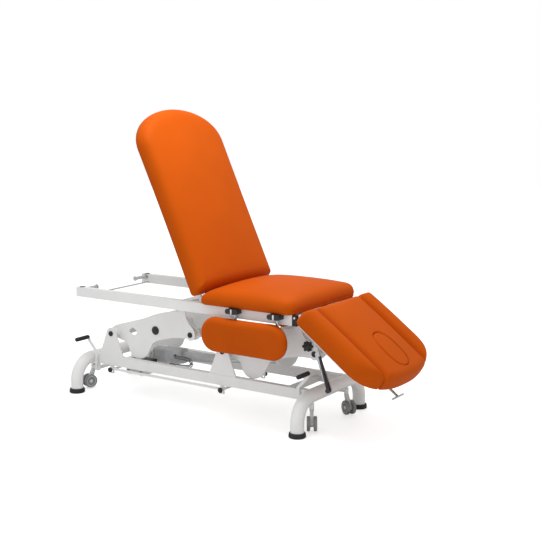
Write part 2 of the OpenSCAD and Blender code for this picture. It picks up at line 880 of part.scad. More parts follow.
// Hanger: a cross tube between the upper rails with two brackets down to the arms
module hanger_2d(p) {
  n = len(p);
  polygon(concat([p[0]], [for (i = [1 : n - 1], k = [0 : 3])
    blend_at(p[max(i - 1, 1)], p[i], p[(i + 1) % n], p[i + 2 >= n ? 0 : i + 2], k / 4)]));
}
module hanger(x, shares, tube_x, bore_r) {
  translate([x, 0, hanger_z])
    difference() {
      union() {
        both_sides(ear_in, ear_out)
          hanger_2d(shares * hanger_drop);
        box_tube([tube_x, -top_in, hanger_drop],
          [tube_x + hanger_tube_w, top_in, hanger_drop + cross_top_h], "y");
      }
      bar_y(bore_r, -ear_out - over, ear_out + over);
    }
}
module left_hanger() {
  color(white) in_frame()
    hanger(hanger_x[0], left_hanger_shares, hanger_tube_x[0], pin_d / 2 + fit);
}
module right_hanger() {
  fork_y = act_half + weld_gap;
  tube_face = hanger_x[1] + hanger_tube_x[1] - back_rear[0];
  fork_z = top_low - back_rear[1];
  color(white) in_frame() {
    difference() {
      hanger(hanger_x[1], right_hanger_shares, hanger_tube_x[1], pin_d / 2 + weld_gap);
      translate([hanger_x[1] + star_at[0], 0, hanger_z + star_at[1]])
        bar_y(star_stem_r + fit, -ear_out - over, -ear_in + over);
    }
    difference() {
      at_xz(back_rear)
        both_sides(fork_y, fork_y + fork_t)
          lug_2d([tube_face + over, fork_z + over], [tube_face + over, fork_z + cross_top_h - over],
            fork_r);
      at_xz(back_rear)
        bar_y(act_pin_r + fit, -act_half - 2 * fork_t, act_half + 2 * fork_t);
    }
  }
}

// Black plastic: bumpers on the rail tops and the hinge blocks on the rail ends
bump_r = 14;
bump_x = 30;
bump_h = 2.2;
block_w = 18;
tongue_l = 18;
module rail_plugs() {
  block_in = top_out - block_w;
  skin = wall + weld_gap;
  color(black) in_frame() {
    for (s = [-1, 1])
      translate([top_left + bump_x, s * (top_out - top_rail_w / 2), top_z])
        cylinder(r = bump_r, h = bump_h);
    for (s = [0, 180])
      difference() {
        union() {
          box([top_right, s > 0 ? -top_out : block_in, top_low],
            [top_right + block_l, s > 0 ? -block_in : top_out, top_z]);
          box([top_right - tongue_l, s > 0 ? skin - top_out : top_in + skin, top_low + skin],
            [top_right + over, s > 0 ? -top_in - skin : top_out - skin, top_z - skin]);
        }
        translate([leg_hinge[0], 0, leg_hinge[2]])
          rotate([0, 0, s])
            bar_y(hinge_pin_r + fit, block_in - over, top_out + over);
      }
  }
}

// Pegs for the paper roll, with a thin rod between the rails
peg_l = 95;
peg_r = 9;
peg_in = 32;
peg_drop = 14;
peg_x = top_left + peg_in;
peg_z = top_z - peg_drop;
flange_r = 16;
flange_t = 4;
thin_rod_r = 4;
thin_rod_in = 18;
thin_rod_up = 8;
thin_rod_x = peg_x + thin_rod_in;
thin_rod_z = top_low + thin_rod_up;
module paper_roll_pegs() {
  color(steel) in_frame() {
    for (s = [0, 180])
      translate([peg_x, 0, peg_z])
        rotate([0, 0, s]) {
          bar_y(peg_r, top_in - peg_l, top_in);
          bar_y(flange_r, top_in - flange_t, top_in);
          bar_y(peg_r + cap_h, top_in - peg_l, top_in - peg_l + cap_h);
        }
    translate([thin_rod_x, 0, thin_rod_z])
      bar_y(thin_rod_r, -top_in, top_in);
  }
}

// Clamps on the rails for the posts of the armrests
post_x = [347, 587];
post_y = 290;
post_r = 8;
clamp_half = 30;
clamp_out = 303;
clamp_h = 24;
clamp_z = 561;
knob_stem_r = 4;
module armrest_clamps() {
  color(black) in_frame()
    for (x = post_x, s = [0, 180])
      translate([x, 0, clamp_z])
        rotate([0, 0, s])
          difference() {
            box([-clamp_half, top_out, -clamp_h / 2], [clamp_half, clamp_out, clamp_h / 2]);
            translate([0, post_y, 0])
              upright(post_r + fit, -clamp_h, clamp_h);
            bar_y(knob_stem_r + fit, post_y, clamp_out + over);
          }
}

// Wing knob that locks a post in its clamp
knob_l = 70;
knob_w = 24;
knob_round = 11;
knob_y = 312;
knob_t = 14;
knob_neck_r = 9;
module clamp_knob(x, s) {
  color(black) in_frame()
    translate([x, 0, clamp_z])
      rotate([0, 0, s]) {
        bar_y(knob_stem_r, post_y + post_r + side_gap, knob_y);
        bar_y(knob_neck_r, clamp_out + weld_gap, knob_y + over);
        plate_y(knob_y, knob_y + knob_t)
          pill_2d(knob_l, knob_w, knob_round);
      }
}
module near_left_knob() clamp_knob(post_x[0], 180);
module near_right_knob() clamp_knob(post_x[1], 180);
module far_left_knob() clamp_knob(post_x[0], 0);
module far_right_knob() clamp_knob(post_x[1], 0);

// Star knob on the near bracket of the right hanger
star_lobes = 6;
lobe_r = 7;
star_t = 22;
module star_knob() {
  core = star_d / 2 - lobe_r;
  color(black) in_frame()
    translate([hanger_x[1] + star_at[0], 0, hanger_z + star_at[1]])
      rotate([0, 0, 180]) {
        bar_y(star_stem_r, ear_in, ear_out + over);
        plate_y(ear_out + weld_gap, ear_out + star_t)
          union() {
            circle(core);
            for (k = [0 : star_lobes - 1])
              rotate(k * 360 / star_lobes)
                translate([core, 0])
                  circle(lobe_r);
          }
      }
}

// Gas spring under the leg section: place of both ends
gas_foot = [815, 220];
gas_y = 207;
gas_half = 7;
gas_lug = [133, -50];
gas_top = [leg_hinge[0], leg_hinge[2]] + turn(gas_lug, -leg_rest);
gas_vec = gas_top - gas_foot;
gas_len = norm(gas_vec);
gas_angle = atan2(gas_vec[1], gas_vec[0]);

// Stay bar from the right hanger down to the foot of the gas spring
stay_w = 25;
stay_y = [190, 196];
stay_at = [22, 4];
stay_boss_r = 5;
module stay_bar() {
  top = [hanger_x[1] + stay_at[0], hanger_z + stay_at[1]];
  color(grey) in_frame()
    difference() {
      union() {
        plate_y(-stay_y[1], -stay_y[0])
          strip_2d([top, gas_foot], stay_w);
        at_xz(top)
          bar_y(stay_boss_r, -stay_y[1], -ear_out);
      }
      at_xz(gas_foot)
        bar_y(hinge_pin_r + fit, -stay_y[1] - over, -stay_y[0] + over);
    }
}

// Gas spring: cylinder with its foot pin, and the rod
gas_r = 7;
gas_rod_r = 4;
gas_tube_end = 165;
gas_bore_x = 60;
gas_rod_l = 150;
gas_eye_r = 11;
module gas_spring_cylinder() {
  color(black) in_frame()
    translate([gas_foot[0], -gas_y, gas_foot[1]])
      rotate([0, -gas_angle, 0])
        difference() {
          union() {
            bar_y(gas_eye_r, -gas_half, gas_half);
            bar_y(hinge_pin_r, 0, gas_y - stay_y[0] + over);
            x_bar(gas_r, 0, gas_tube_end);
          }
          x_bar(gas_rod_r + fit, gas_bore_x, gas_tube_end + over);
        }
}
module gas_spring_rod() {
  color(steel) in_frame()
    translate([gas_foot[0], -gas_y, gas_foot[1]])
      rotate([0, -gas_angle, 0]) {
        x_bar(gas_rod_r, gas_len - gas_rod_l, gas_len);
        translate([gas_len, 0, 0])
          bar_y(gas_eye_r - over, -gas_half, gas_half);
      }
}

// How far in the rings of a cushion lie, for a pad that is rounded f times as much
function insets(f = 1) = [for (q = rings) f * q[0]];

// Rings of a cushion wall, from the outlines at those insets
function wall_rings(outlines, t) = [for (j = [0 : len(rings) - 1])
  [for (p = outlines[j]) [p[0], p[1], rings[j][1] * t]]];
function toward(p, q, c, rise) =
  [p[0] + (q[0] - p[0]) * c, p[1] + (q[1] - p[1]) * c, p[2] + rise * c * (2 - c)];

// Cushion: rings of an outline with a crown on top, its right end leaning back by a
// share of the height
lean_l = 90;
module cushion(outlines, t, rise, lean = 0) {
  base = outlines[0];
  n = len(base);
  mid = [for (k = [0, 1]) (min([for (p = base) p[k]]) + max([for (p = base) p[k]])) / 2];
  side = wall_rings(outlines, t);
  top = side[len(side) - 1];
  shells = concat(side, [for (c = crown_shares) [for (p = top) toward(p, mid, c, rise)]]);
  m = len(shells);
  end_x = max([for (p = base) p[0]]);
  pts = concat([for (r = shells, p = r)
      [p[0] - lean * p[2] * max(0, 1 - (end_x - p[0]) / lean_l), p[1], p[2]]],
    [[mid[0], mid[1], 0], [mid[0], mid[1], top[0][2] + rise]]);
  faces = concat(
    [for (j = [0 : m - 2], i = [0 : n - 1]) each let(a = j * n + i, b = j * n + (i + 1) % n)
      [[a, a + n, b + n], [a, b + n, b]]],
    [for (i = [0 : n - 1]) [i, (i + 1) % n, m * n]],
    [for (i = [0 : n - 1]) [(m - 1) * n + i, m * n + 1, (m - 1) * n + (i + 1) % n]]);
  polyhedron(pts, faces);
}

// The same cushion around an opening, whose outline has as many points
module holed_cushion(outlines, hole, t, rise) {
  n = len(hole);
  side = wall_rings(outlines, t);
  top = side[len(side) - 1];
  shells = concat(side,
    [for (c = concat(crown_shares, 1)) [for (i = [0 : n - 1]) toward(top[i], hole[i], c, rise)]],
    [[for (q = hole) [q[0], q[1], 0]]]);
  m = len(shells);
  faces = [for (j = [0 : m - 1], i = [0 : n - 1])
    each let(a = j * n, b = (j + 1) % m * n, k = (i + 1) % n)
      [[a + i, b + i, b + k], [a + i, b + k, a + k]]];
  polyhedron([for (r = shells, p = r) p], faces);
}

// Outline of a cushion between two corners at the inset d, with four corner radii
// from the far right one round, its sides drawn in a little, its right end bowed out
draw_in_share = 0.006;
least_r = 4;
function corner(c, r, a0, n) = [for (k = [0 : n])
  c + r * [cos(a0 + 90 * k / n), sin(a0 + 90 * k / n)]];
function side_pts(a, b, n, share) = [for (k = [1 : n - 1]) let(t = k / n, w = b - a)
  a + w * t + share * sin(180 * t) * [-w[1], w[0]]];
outline_steps = 4;
function pad_outline(lo, hi, radii, end_share, d = 0) = let(n = outline_steps,
    f = draw_in_share,
    r = [for (q = radii) max(q - d, least_r)], p = lo + [d, d], q = hi - [d, d],
    a = corner([q[0] - r[0], q[1] - r[0]], r[0], 0, n),
    b = corner([p[0] + r[1], q[1] - r[1]], r[1], 90, n),
    c = corner([p[0] + r[2], p[1] + r[2]], r[2], 180, n),
    e = corner([q[0] - r[3], p[1] + r[3]], r[3], 270, n))
  concat(a, side_pts(a[n], b[0], n, f), b, side_pts(b[n], c[0], n, f), c,
    side_pts(c[n], e[0], n, f), e, side_pts(e[n], a[0], n, end_share));

// Outline with its left end rounded as half an ellipse
head_steps = 18;
function headed_outline(x0, x1, w, r, head, d = 0) = let(h = w / 2 - d, n = outline_steps,
    f = draw_in_share, s = max(r - d, least_r), x = x1 - d,
    b = corner([x - s, h - s], s, 0, n), c = corner([x - s, s - h], s, 270, n),
    m = head_steps, e = [for (k = [0 : m]) let(a = 180 * k / m)
      [x0 + head - (head - d) * sin(a), h * cos(a)]])
  concat(b, side_pts(b[n], e[0], n, f), e, side_pts(e[m], c[0], n, f), c,
    side_pts(c[n], b[0], n, f));

// Seat section
corner_r = 40;
module seat_block(e, t) {
  box([seat_x + lip + e, -half_w + lip + e, 0],
    [seat_x + seat_l - lip - e, half_w - lip - e, t]);
}
module seat_board() {
  color(ply) in_frame()
    translate([0, 0, top_z])
      seat_block(side_gap, board_t);
}
module seat_cushion() {
  color(orange) in_frame()
    translate([0, 0, seat_z])
      difference() {
        cushion([for (d = insets()) pad_outline([seat_x, -half_w], [seat_x + seat_l, half_w],
          [corner_r, corner_r, corner_r, corner_r], draw_in_share, d)], pad_t, crown);
        translate([0, 0, -over])
          seat_block(0, board_t + over);
      }
}

// Backrest, drawn level and turned up about its hinge
back_tip = -back_start - back_l;
back_head = 195;
heel_r = 20;
heel_share = 0.36;
module back_block(e, t) {
  linear_extrude(t)
    polygon(headed_outline(back_tip + lip + e, -back_start - lip - e,
      table_w - 2 * (lip + e), heel_r, back_head - lip - e));
}
module backrest_board() {
  color(ply) in_frame()
    at_back()
      translate([0, 0, back_under])
        back_block(side_gap, board_t - side_gap);
}
module backrest_cushion() {
  color(orange) in_frame()
    at_back()
      translate([0, 0, back_under])
        difference() {
          cushion([for (d = insets())
            headed_outline(back_tip, -back_start, table_w, heel_r, back_head, d)],
            pad_t, crown, heel_share);
          translate([0, 0, -over])
            back_block(0, board_t + over);
        }
}

// Steel frame under the backrest board, with its hinge tube and actuator lever
back_bar_w = 25;
back_bar_h = 20;
back_frame_l = 734;
back_bar_start = 42;
back_lug_x = -60;
back_tube_r = 10;
lever_root = 7;
back_eye_rim = 14;
module backrest_frame() {
  y1 = hinge_y[0] - side_gap;
  lug_y = [y1 - plate_t, y1];
  bar_end = -back_bar_start;
  bar_x = bar_end - back_frame_l;
  z0 = back_under - back_bar_h;
  cross_at = [bar_x, (bar_x + bar_end) / 2, bar_end - 2 * cross_w];
  lug_half = hinge_r * flank_share;
  lever_in_y = act_half + weld_gap;
  color(white) in_frame()
    at_back() {
      for (y = [-y1, y1 - back_bar_w])
        box_tube([bar_x, y, z0], [bar_end, y + back_bar_w, back_under], "x");
      for (x = cross_at)
        box_tube([x, back_bar_w - y1, z0], [x + cross_w, y1 - back_bar_w, back_under], "y");
      both_sides(lug_y[0], lug_y[1]) {
        circle(hinge_r);
        translate([-lug_half, z0])
          square([2 * lug_half, -z0]);
        translate([back_lug_x, z0])
          square([-back_lug_x, back_bar_h - weld_gap]);
      }
      bar_y(back_tube_r, -lug_y[1], lug_y[1]);
      bar_y(hinge_pin_r, -hinge_y[1], hinge_y[1]);
      both_sides(lever_in_y, lever_in_y + fork_t) {
        translate(back_lever)
          lug_2d(-back_lever + lever_root * unit([-back_lever[1], back_lever[0]]),
            -back_lever - lever_root * unit([-back_lever[1], back_lever[0]]), back_eye_rim);
      }
    }
}

// Second actuator, under the seat: motor housing and tube, then the sliding rod
back_house = [-165, -15];
back_house_h = 72;
back_tube = [-388, -150];
back_tube_r2 = 20;
back_rod_r = 7;
back_rod_l = 215;
module back_actuator_body() {
  pin_half = act_half + fork_t + 2 * over;
  color(grey) in_frame()
    at_xz(back_rear)
      difference() {
        union() {
          bar_y(act_pin_r, -pin_half, pin_half);
          box([back_house[1] - over, -act_half, -fork_r], [0, act_half, fork_r]);
          bar_y(fork_r, -act_half, act_half);
          translate([(back_house[0] + back_house[1]) / 2, 0, 0])
            soft_box(back_house[1] - back_house[0], house_w, back_house_h, house_round);
          x_bar(back_tube_r2, back_tube[0], back_tube[1]);
        }
        x_bar(back_rod_r + fit, back_tube[0] - over, back_tube[1] - fork_r);
      }
}
module back_actuator_rod() {
  color(steel) in_frame()
    at_xz(back_eye) {
      x_bar(back_rod_r, 0, back_rod_l);
      bar_y(fork_r, -act_half, act_half);
    }
}

// Leg section, drawn level and turned down about its hinge
seam_y = half_w - wing_w;
seam_gap = 0.3;
leg_bulge = 20;
wing_end = 496;
wing_round = [75, 12, 12, 9];
wing_inset_share = 0.6;
hole_at = 377;
hole_l = 212;
hole_w = 104;
hole_steps = 32;
leg_board_x = [45, 465];
leg_board_y = 285;
hole_first = 2;
function oval_pts(e) = [for (k = [0 : hole_steps - 1]) let(a = 360 * (k + hole_first) / hole_steps)
  [hole_at + (hole_l / 2 + e) * cos(a), (hole_w / 2 + e) * sin(a)]];
module leg_block(e, t) {
  box([leg_board_x[0] - e, -leg_board_y - e, 0], [leg_board_x[1] + e, leg_board_y + e, t]);
}
module in_leg() {
  at_leg()
    translate([0, 0, leg_under])
      children();
}
module leg_board() {
  color(ply) in_frame()
    in_leg()
      difference() {
        leg_block(0, board_t - side_gap);
        translate([0, 0, -over])
          linear_extrude(board_t + over)
            polygon(oval_pts(side_gap));
      }
}
module leg_recess() {
  translate([0, 0, -over])
    leg_block(side_gap, board_t + over);
}
module leg_cushion() {
  y = seam_y - seam_gap;
  end_share = -leg_bulge / (2 * y - 2 * corner_r);
  color(orange) in_frame()
    in_leg()
      difference() {
        holed_cushion([for (d = insets()) pad_outline([leg_start, -y], [leg_end - leg_bulge, y],
          [corner_r, heel_r, heel_r, corner_r], end_share, d)], oval_pts(side_gap), pad_t, crown);
        leg_recess();
      }
}
module wing_pad() {
  difference() {
    cushion([for (d = insets(wing_inset_share))
      pad_outline([leg_start, -half_w], [wing_end, -seam_y - seam_gap],
      [wing_round[1], wing_round[2], wing_round[3], wing_round[0]], draw_in_share, d)],
      pad_t, crown / 2);
    leg_recess();
  }
}
module near_wing() {
  color(orange) in_frame()
    in_leg()
      wing_pad();
}
module far_wing() {
  color(orange) in_frame()
    in_leg()
      mirror([0, 1, 0])
        wing_pad();
}
// Loose plug of the face opening, hollowed a little underneath
plug_rise = 5;
plug_low = 4;
plug_t = pad_t + crown - plug_low;
plug_recess = 3;
plug_inset_share = 0.25;
module face_plug() {
  color(orange) in_frame()
    in_leg()
      difference() {
        cushion([for (d = insets(plug_inset_share)) oval_pts(-d)], plug_t, plug_rise);
        translate([0, 0, -over])
          linear_extrude(plug_recess + over)
            polygon(oval_pts(-lip));
      }
}

// Steel frame of the leg section: hinge tube, side tubes, cross tubes, the lug of
// the gas spring and the guides of the release handle
leg_tube_y = [252, 278];
leg_tube_x = [38, 350];
leg_tube_h = 32;
leg_cross_x = [118, 226];
leg_eye_r = 11;
lug_y = [191, 199];
handle_r = 6.5;
handle_z = -73;
handle_y = 15;
guide_r = 13;
guide_w = 12;
guide_t = 6;
module leg_frame() {
  z0 = leg_under - leg_tube_h;
  hinge_end = top_out - block_w - side_gap;
  color(white) in_frame()
    at_leg() {
      for (y = [leg_tube_y[0], -leg_tube_y[1]])
        box_tube([leg_tube_x[0], y, z0],
          [leg_tube_x[1], y + leg_tube_y[1] - leg_tube_y[0], leg_under], "x");
      for (x = leg_cross_x)
        box_tube([x, -leg_tube_y[0], z0], [x + cross_w, leg_tube_y[0], leg_under], "y");
      both_sides(leg_tube_y[0], hinge_end)
        lug_2d([leg_tube_x[0] + over, z0], [leg_tube_x[0] + over, leg_under - over], leg_eye_r);
      bar_y(leg_eye_r - over, -hinge_end, hinge_end);
      bar_y(hinge_pin_r, -top_out, top_out);
      plate_y(-lug_y[1], -lug_y[0])
        translate(gas_lug)
          lug_2d([cross_w / 2, z0 + over - gas_lug[1]],
            [-cross_w / 2, z0 + over - gas_lug[1]], leg_eye_r);
      for (x = leg_cross_x)
        difference() {
          union() {
            box([x, handle_y - guide_w, handle_z], [x + guide_t, handle_y + guide_w, z0 + over]);
            translate([0, handle_y, handle_z])
              x_bar(guide_r, x, x + guide_t);
          }
          translate([0, handle_y, handle_z])
            x_bar(handle_r + fit, x - over, x + guide_t + over);
        }
    }
}

// Release handle of the gas spring
handle_x = [106, 540];
handle_half = 55;
handle_bar_r = 5;
handle_stop_r = 10;
module release_handle() {
  color(steel) in_frame()
    at_leg()
      translate([0, handle_y, handle_z]) {
        x_bar(handle_r, handle_x[0], handle_x[1]);
        x_bar(handle_stop_r, handle_x[0] - guide_t, handle_x[0]);
        translate([handle_x[1], 0, 0])
          bar_y(handle_bar_r, -handle_half, handle_half);
      }
}

// Armrests: two posts on a plate, and the padded cushion that hangs outside the rail
armrest_at = [411, 439];
arm_plate_t = 3;
arm_plate_half = 150;
arm_plate_h = 60;
post_foot = 410;
post_top = 570;
arm_back = 300;
arm_rise_t = 7;
arm_round_share = 0.48;
arm_inset_share = 0.7;
module armrest_posts(s) {
  color(steel) in_frame()
    rotate([0, 0, s]) {
      for (x = post_x)
        translate([s > 0 ? -x : x, post_y, 0])
          upright(post_r, post_foot, post_top);
      box([(s > 0 ? -1 : 1) * armrest_at[0] - arm_plate_half, arm_back - arm_plate_t,
          armrest_at[1] - arm_plate_h],
        [(s > 0 ? -1 : 1) * armrest_at[0] + arm_plate_half, arm_back,
          armrest_at[1] + arm_plate_h]);
    }
}
module armrest_pad(s) {
  r = arm_round_share * armrest_h;
  half = [armrest_l / 2, armrest_h / 2];
  color(orange) in_frame()
    translate([armrest_at[0], s * (arm_back + weld_gap), armrest_at[1]])
      rotate([90, 0, s > 0 ? 180 : 0])
        cushion([for (d = insets(arm_inset_share))
          pad_outline(-half, half, [r, r, r, r], draw_in_share, d)],
          armrest_t - arm_rise_t, arm_rise_t);
}
module near_armrest_posts() armrest_posts(180);
module near_armrest_pad() armrest_pad(-1);
module far_armrest_posts() armrest_posts(0);
module far_armrest_pad() armrest_pad(1);

left_end_arch();
right_end_arch();
near_base_rail();
far_base_rail();
base_cross_members();
rubber_feet();
control_box();
curly_cord();
foot_control_bar();
lift_actuator_body();
lift_actuator_rod();
left_lift_arm();
left_arm_pins();
right_lift_arm();
right_arm_pins();
left_caster_axle();
left_lever_grip();
right_caster_axle();
right_lever_grip();
near_left_caster();
far_left_caster();
near_right_caster();
far_right_caster();
near_left_wheels();
far_left_wheels();
near_right_wheels();
far_right_wheels();
near_upper_rail();
far_upper_rail();
left_hanger();
right_hanger();
rail_plugs();
paper_roll_pegs();
seat_board();
seat_cushion();
armrest_clamps();
stay_bar();
near_left_knob();
near_right_knob();
far_left_knob();
far_right_knob();
star_knob();
near_armrest_posts();
near_armrest_pad();
far_armrest_posts();
far_armrest_pad();
backrest_frame();
backrest_board();
backrest_cushion();
back_actuator_body();
back_actuator_rod();
leg_frame();
leg_board();
leg_cushion();
near_wing();
far_wing();
face_plug();
release_handle();
gas_spring_cylinder();
gas_spring_rod();
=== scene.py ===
import json
import math

import bpy
import numpy as np
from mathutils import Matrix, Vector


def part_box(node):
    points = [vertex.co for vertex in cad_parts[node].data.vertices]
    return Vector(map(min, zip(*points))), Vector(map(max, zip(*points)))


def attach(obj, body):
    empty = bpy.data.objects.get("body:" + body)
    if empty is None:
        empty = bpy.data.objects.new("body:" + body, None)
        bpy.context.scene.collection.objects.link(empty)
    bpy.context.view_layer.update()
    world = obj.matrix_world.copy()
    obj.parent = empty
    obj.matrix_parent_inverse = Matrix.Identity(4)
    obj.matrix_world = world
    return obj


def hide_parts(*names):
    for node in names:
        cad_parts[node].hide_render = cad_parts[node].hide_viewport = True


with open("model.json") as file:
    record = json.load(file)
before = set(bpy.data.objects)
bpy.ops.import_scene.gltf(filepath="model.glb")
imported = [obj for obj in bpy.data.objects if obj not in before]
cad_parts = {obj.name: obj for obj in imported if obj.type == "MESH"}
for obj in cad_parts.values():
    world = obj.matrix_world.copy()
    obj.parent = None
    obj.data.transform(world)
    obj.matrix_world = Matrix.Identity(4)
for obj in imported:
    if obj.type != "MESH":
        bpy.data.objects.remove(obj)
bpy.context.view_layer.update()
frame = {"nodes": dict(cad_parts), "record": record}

# Sizes of the construction, in millimetres, in its own frame before it is centred
TABLE_W, SEAT_X, SEAT_L, BACK_L = 620, 142, 529, 972
HALF_W = TABLE_W / 2
PAD_T = 68
BOARD_T, BOARD_HALF_W = 14.5, 285
BACK_REST, ARM_REST = math.radians(65), math.radians(6.2)
LEG_REST = math.radians(36.6)

# Lift: the arms' lower pivots, their length, and the hangers at their upper ends
LIFT_X, PIVOT_Z, ARM_L = (-548, 190), 320, 540
ARM_RISE, ARM_RUN = ARM_L * math.sin(ARM_REST), ARM_L * math.cos(ARM_REST)
HANGER_X = (LIFT_X[0] + ARM_RUN, LIFT_X[1] + ARM_RUN)
HANGER_Z = PIVOT_Z + ARM_RISE

# Upper frame: underside and top of its rails, and the boards and hinges above it
TOP_LOW = HANGER_Z + 144
TOP_Z = TOP_LOW + 51
BOARD_Z = TOP_Z + 2.6
BACK_HINGE = (125, BOARD_Z + 14.4)
LEG_HINGE = (674.5, TOP_Z - 13)
LEG_UNDER = BOARD_Z - LEG_HINGE[1]
BACK_UNDER = BOARD_Z - BACK_HINGE[1]
KNOB_X, KNOB_Z = (347, 587), 561

# Base: the arches, the shafts of the hand levers, and the casters on them
FOOT_X, SHAFT_X, SHAFT_Z, CASTER_Y = 702, 652, 118, 165

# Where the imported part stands, read from the box of one knob
low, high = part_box("near_left_knob")
ORIGIN = np.array([(low[0] + high[0]) / 2 * 1000 - KNOB_X[0], 0, 0])


# Camera
CAMERA_AT = (3.0807, -4.3613, 1.5612)
CAMERA_DOWN, CAMERA_TURN = 9.0925, 33.907
CAMERA_LENS, CAMERA_SENSOR = 71.44, 36


def make_camera():
    """Camera at the photograph's viewing angle."""
    data = bpy.data.cameras.new("camera")
    data.lens = CAMERA_LENS
    data.sensor_width = CAMERA_SENSOR
    cam = bpy.data.objects.new("camera", data)
    bpy.context.scene.collection.objects.link(cam)
    cam.location = CAMERA_AT
    cam.rotation_euler = (math.radians(90 - CAMERA_DOWN), 0, math.radians(CAMERA_TURN))
    bpy.context.scene.camera = cam


make_camera()


# Materials
def new_material(name):
    """A material with its node tree, its shader and its object coordinates."""
    mat = bpy.data.materials.new(name)
    mat.use_nodes = True
    tree = mat.node_tree
    shader = tree.nodes["Principled BSDF"]
    coords = tree.nodes.new("ShaderNodeTexCoord")
    return mat, tree, shader, coords.outputs["Object"]


def noise(tree, where, scale, detail=2.0, rough=0.5):
    """Factor of a noise texture."""
    node = tree.nodes.new("ShaderNodeTexNoise")
    node.inputs["Scale"].default_value = scale
    node.inputs["Detail"].default_value = detail
    node.inputs["Roughness"].default_value = rough
    tree.links.new(where, node.inputs["Vector"])
    return node.outputs["Fac"]


def ramp(tree, value, stops):
    """Colour that runs through the stops as the value rises."""
    node = tree.nodes.new("ShaderNodeValToRGB")
    elements = node.color_ramp.elements
    while len(elements) < len(stops):
        elements.new(0.5)
    for e, (at, colour) in zip(elements, stops):
        e.position = at
        e.color = (*colour, 1)
    tree.links.new(value, node.inputs["Fac"])
    return node.outputs["Color"]


def spread(tree, value, lo, hi):
    """The value, stretched from 0..1 to lo..hi."""
    node = tree.nodes.new("ShaderNodeMapRange")
    node.inputs["To Min"].default_value = lo
    node.inputs["To Max"].default_value = hi
    tree.links.new(value, node.inputs["Value"])
    return node.outputs["Result"]


def bump(tree, shader, heights):
    """A chain of bumps from (height, strength, distance) rows."""
    previous = None
    for value, strength, distance in heights:
        node = tree.nodes.new("ShaderNodeBump")
        node.inputs["Strength"].default_value = strength
        node.inputs["Distance"].default_value = distance
        tree.links.new(value, node.inputs["Height"])
        if previous is not None:
            tree.links.new(previous, node.inputs["Normal"])
        previous = node.outputs["Normal"]
    tree.links.new(previous, shader.inputs["Normal"])


def shade(colour, k):
    """The colour, darker or lighter by the factor."""
    return tuple(min(1.0, c * k) for c in colour)


ORANGE_PEEL = 0.25


def coat_material(name, colour, rough):
    """Powder coat: faint patches, and the fine ripple that such a coat has."""
    mat, tree, shader, at = new_material(name)
    patches = noise(tree, at, 7.0, 3.0)
    tree.links.new(
        ramp(tree, patches, [(0.3, shade(colour, 0.965)), (0.7, shade(colour, 1.02))]),
        shader.inputs["Base Color"],
    )
    tree.links.new(
        spread(tree, noise(tree, at, 35.0, 4.0), rough - 0.05, rough + 0.07),
        shader.inputs["Roughness"],
    )
    bump(tree, shader, [
        (noise(tree, at, 420.0, 1.0), ORANGE_PEEL, 0.0002),
        (noise(tree, at, 60.0, 2.0), ORANGE_PEEL / 2, 0.0003),
    ])
    shader.inputs["Specular IOR Level"].default_value = 0.5
    return mat


def plastic_material(name, colour, rough, grain=900.0, depth=0.35):
    """Moulded plastic or rubber with a fine grain."""
    mat, tree, shader, at = new_material(name)
    tree.links.new(
        ramp(tree, noise(tree, at, 22.0, 4.0),
             [(0.25, shade(colour, 0.82)), (0.75, shade(colour, 1.2))]),
        shader.inputs["Base Color"],
    )
    tree.links.new(
        spread(tree, noise(tree, at, 70.0, 5.0), rough - 0.07, rough + 0.09),
        shader.inputs["Roughness"],
    )
    bump(tree, shader, [(noise(tree, at, grain, 2.0, 0.7), depth, 0.0002)])
    return mat


def steel_material(name, colour, rough):
    """Drawn steel, its lines along X."""
    mat, tree, shader, at = new_material(name)
    shader.inputs["Metallic"].default_value = 1.0
    stretch = tree.nodes.new("ShaderNodeMapping")
    stretch.inputs["Scale"].default_value = (0.06, 1.0, 1.0)
    tree.links.new(at, stretch.inputs["Vector"])
    lines = noise(tree, stretch.outputs["Vector"], 1400.0, 3.0, 0.6)
    tree.links.new(
        ramp(tree, lines, [(0.3, shade(colour, 0.88)), (0.7, shade(colour, 1.06))]),
        shader.inputs["Base Color"],
    )
    tree.links.new(spread(tree, lines, rough - 0.06, rough + 0.1), shader.inputs["Roughness"])
    bump(tree, shader, [(lines, 0.2, 0.00008)])
    return mat


def vinyl_material(name, colour):
    """Upholstery vinyl: an embossed pebble over a soft unevenness."""
    mat, tree, shader, at = new_material(name)
    tone = noise(tree, at, 4.5, 3.0)
    tree.links.new(
        ramp(tree, tone, [(0.3, shade(colour, 0.955)), (0.7, shade(colour, 1.03))]),
        shader.inputs["Base Color"],
    )
    cells = tree.nodes.new("ShaderNodeTexVoronoi")
    cells.feature = "DISTANCE_TO_EDGE"
    cells.inputs["Scale"].default_value = 620.0
    tree.links.new(at, cells.inputs["Vector"])
    pebble = spread(tree, cells.outputs["Distance"], 0.0, 1.0)
    tree.links.new(
        spread(tree, noise(tree, at, 260.0, 4.0), 0.5, 0.64), shader.inputs["Roughness"]
    )
    shader.inputs["Specular IOR Level"].default_value = 0.05
    bump(tree, shader, [
        (noise(tree, at, 14.0, 2.0), 0.12, 0.002),
        (noise(tree, at, 700.0, 3.0, 0.65), 0.3, 0.00012),
        (pebble, 0.35, 0.00015),
    ])
    return mat


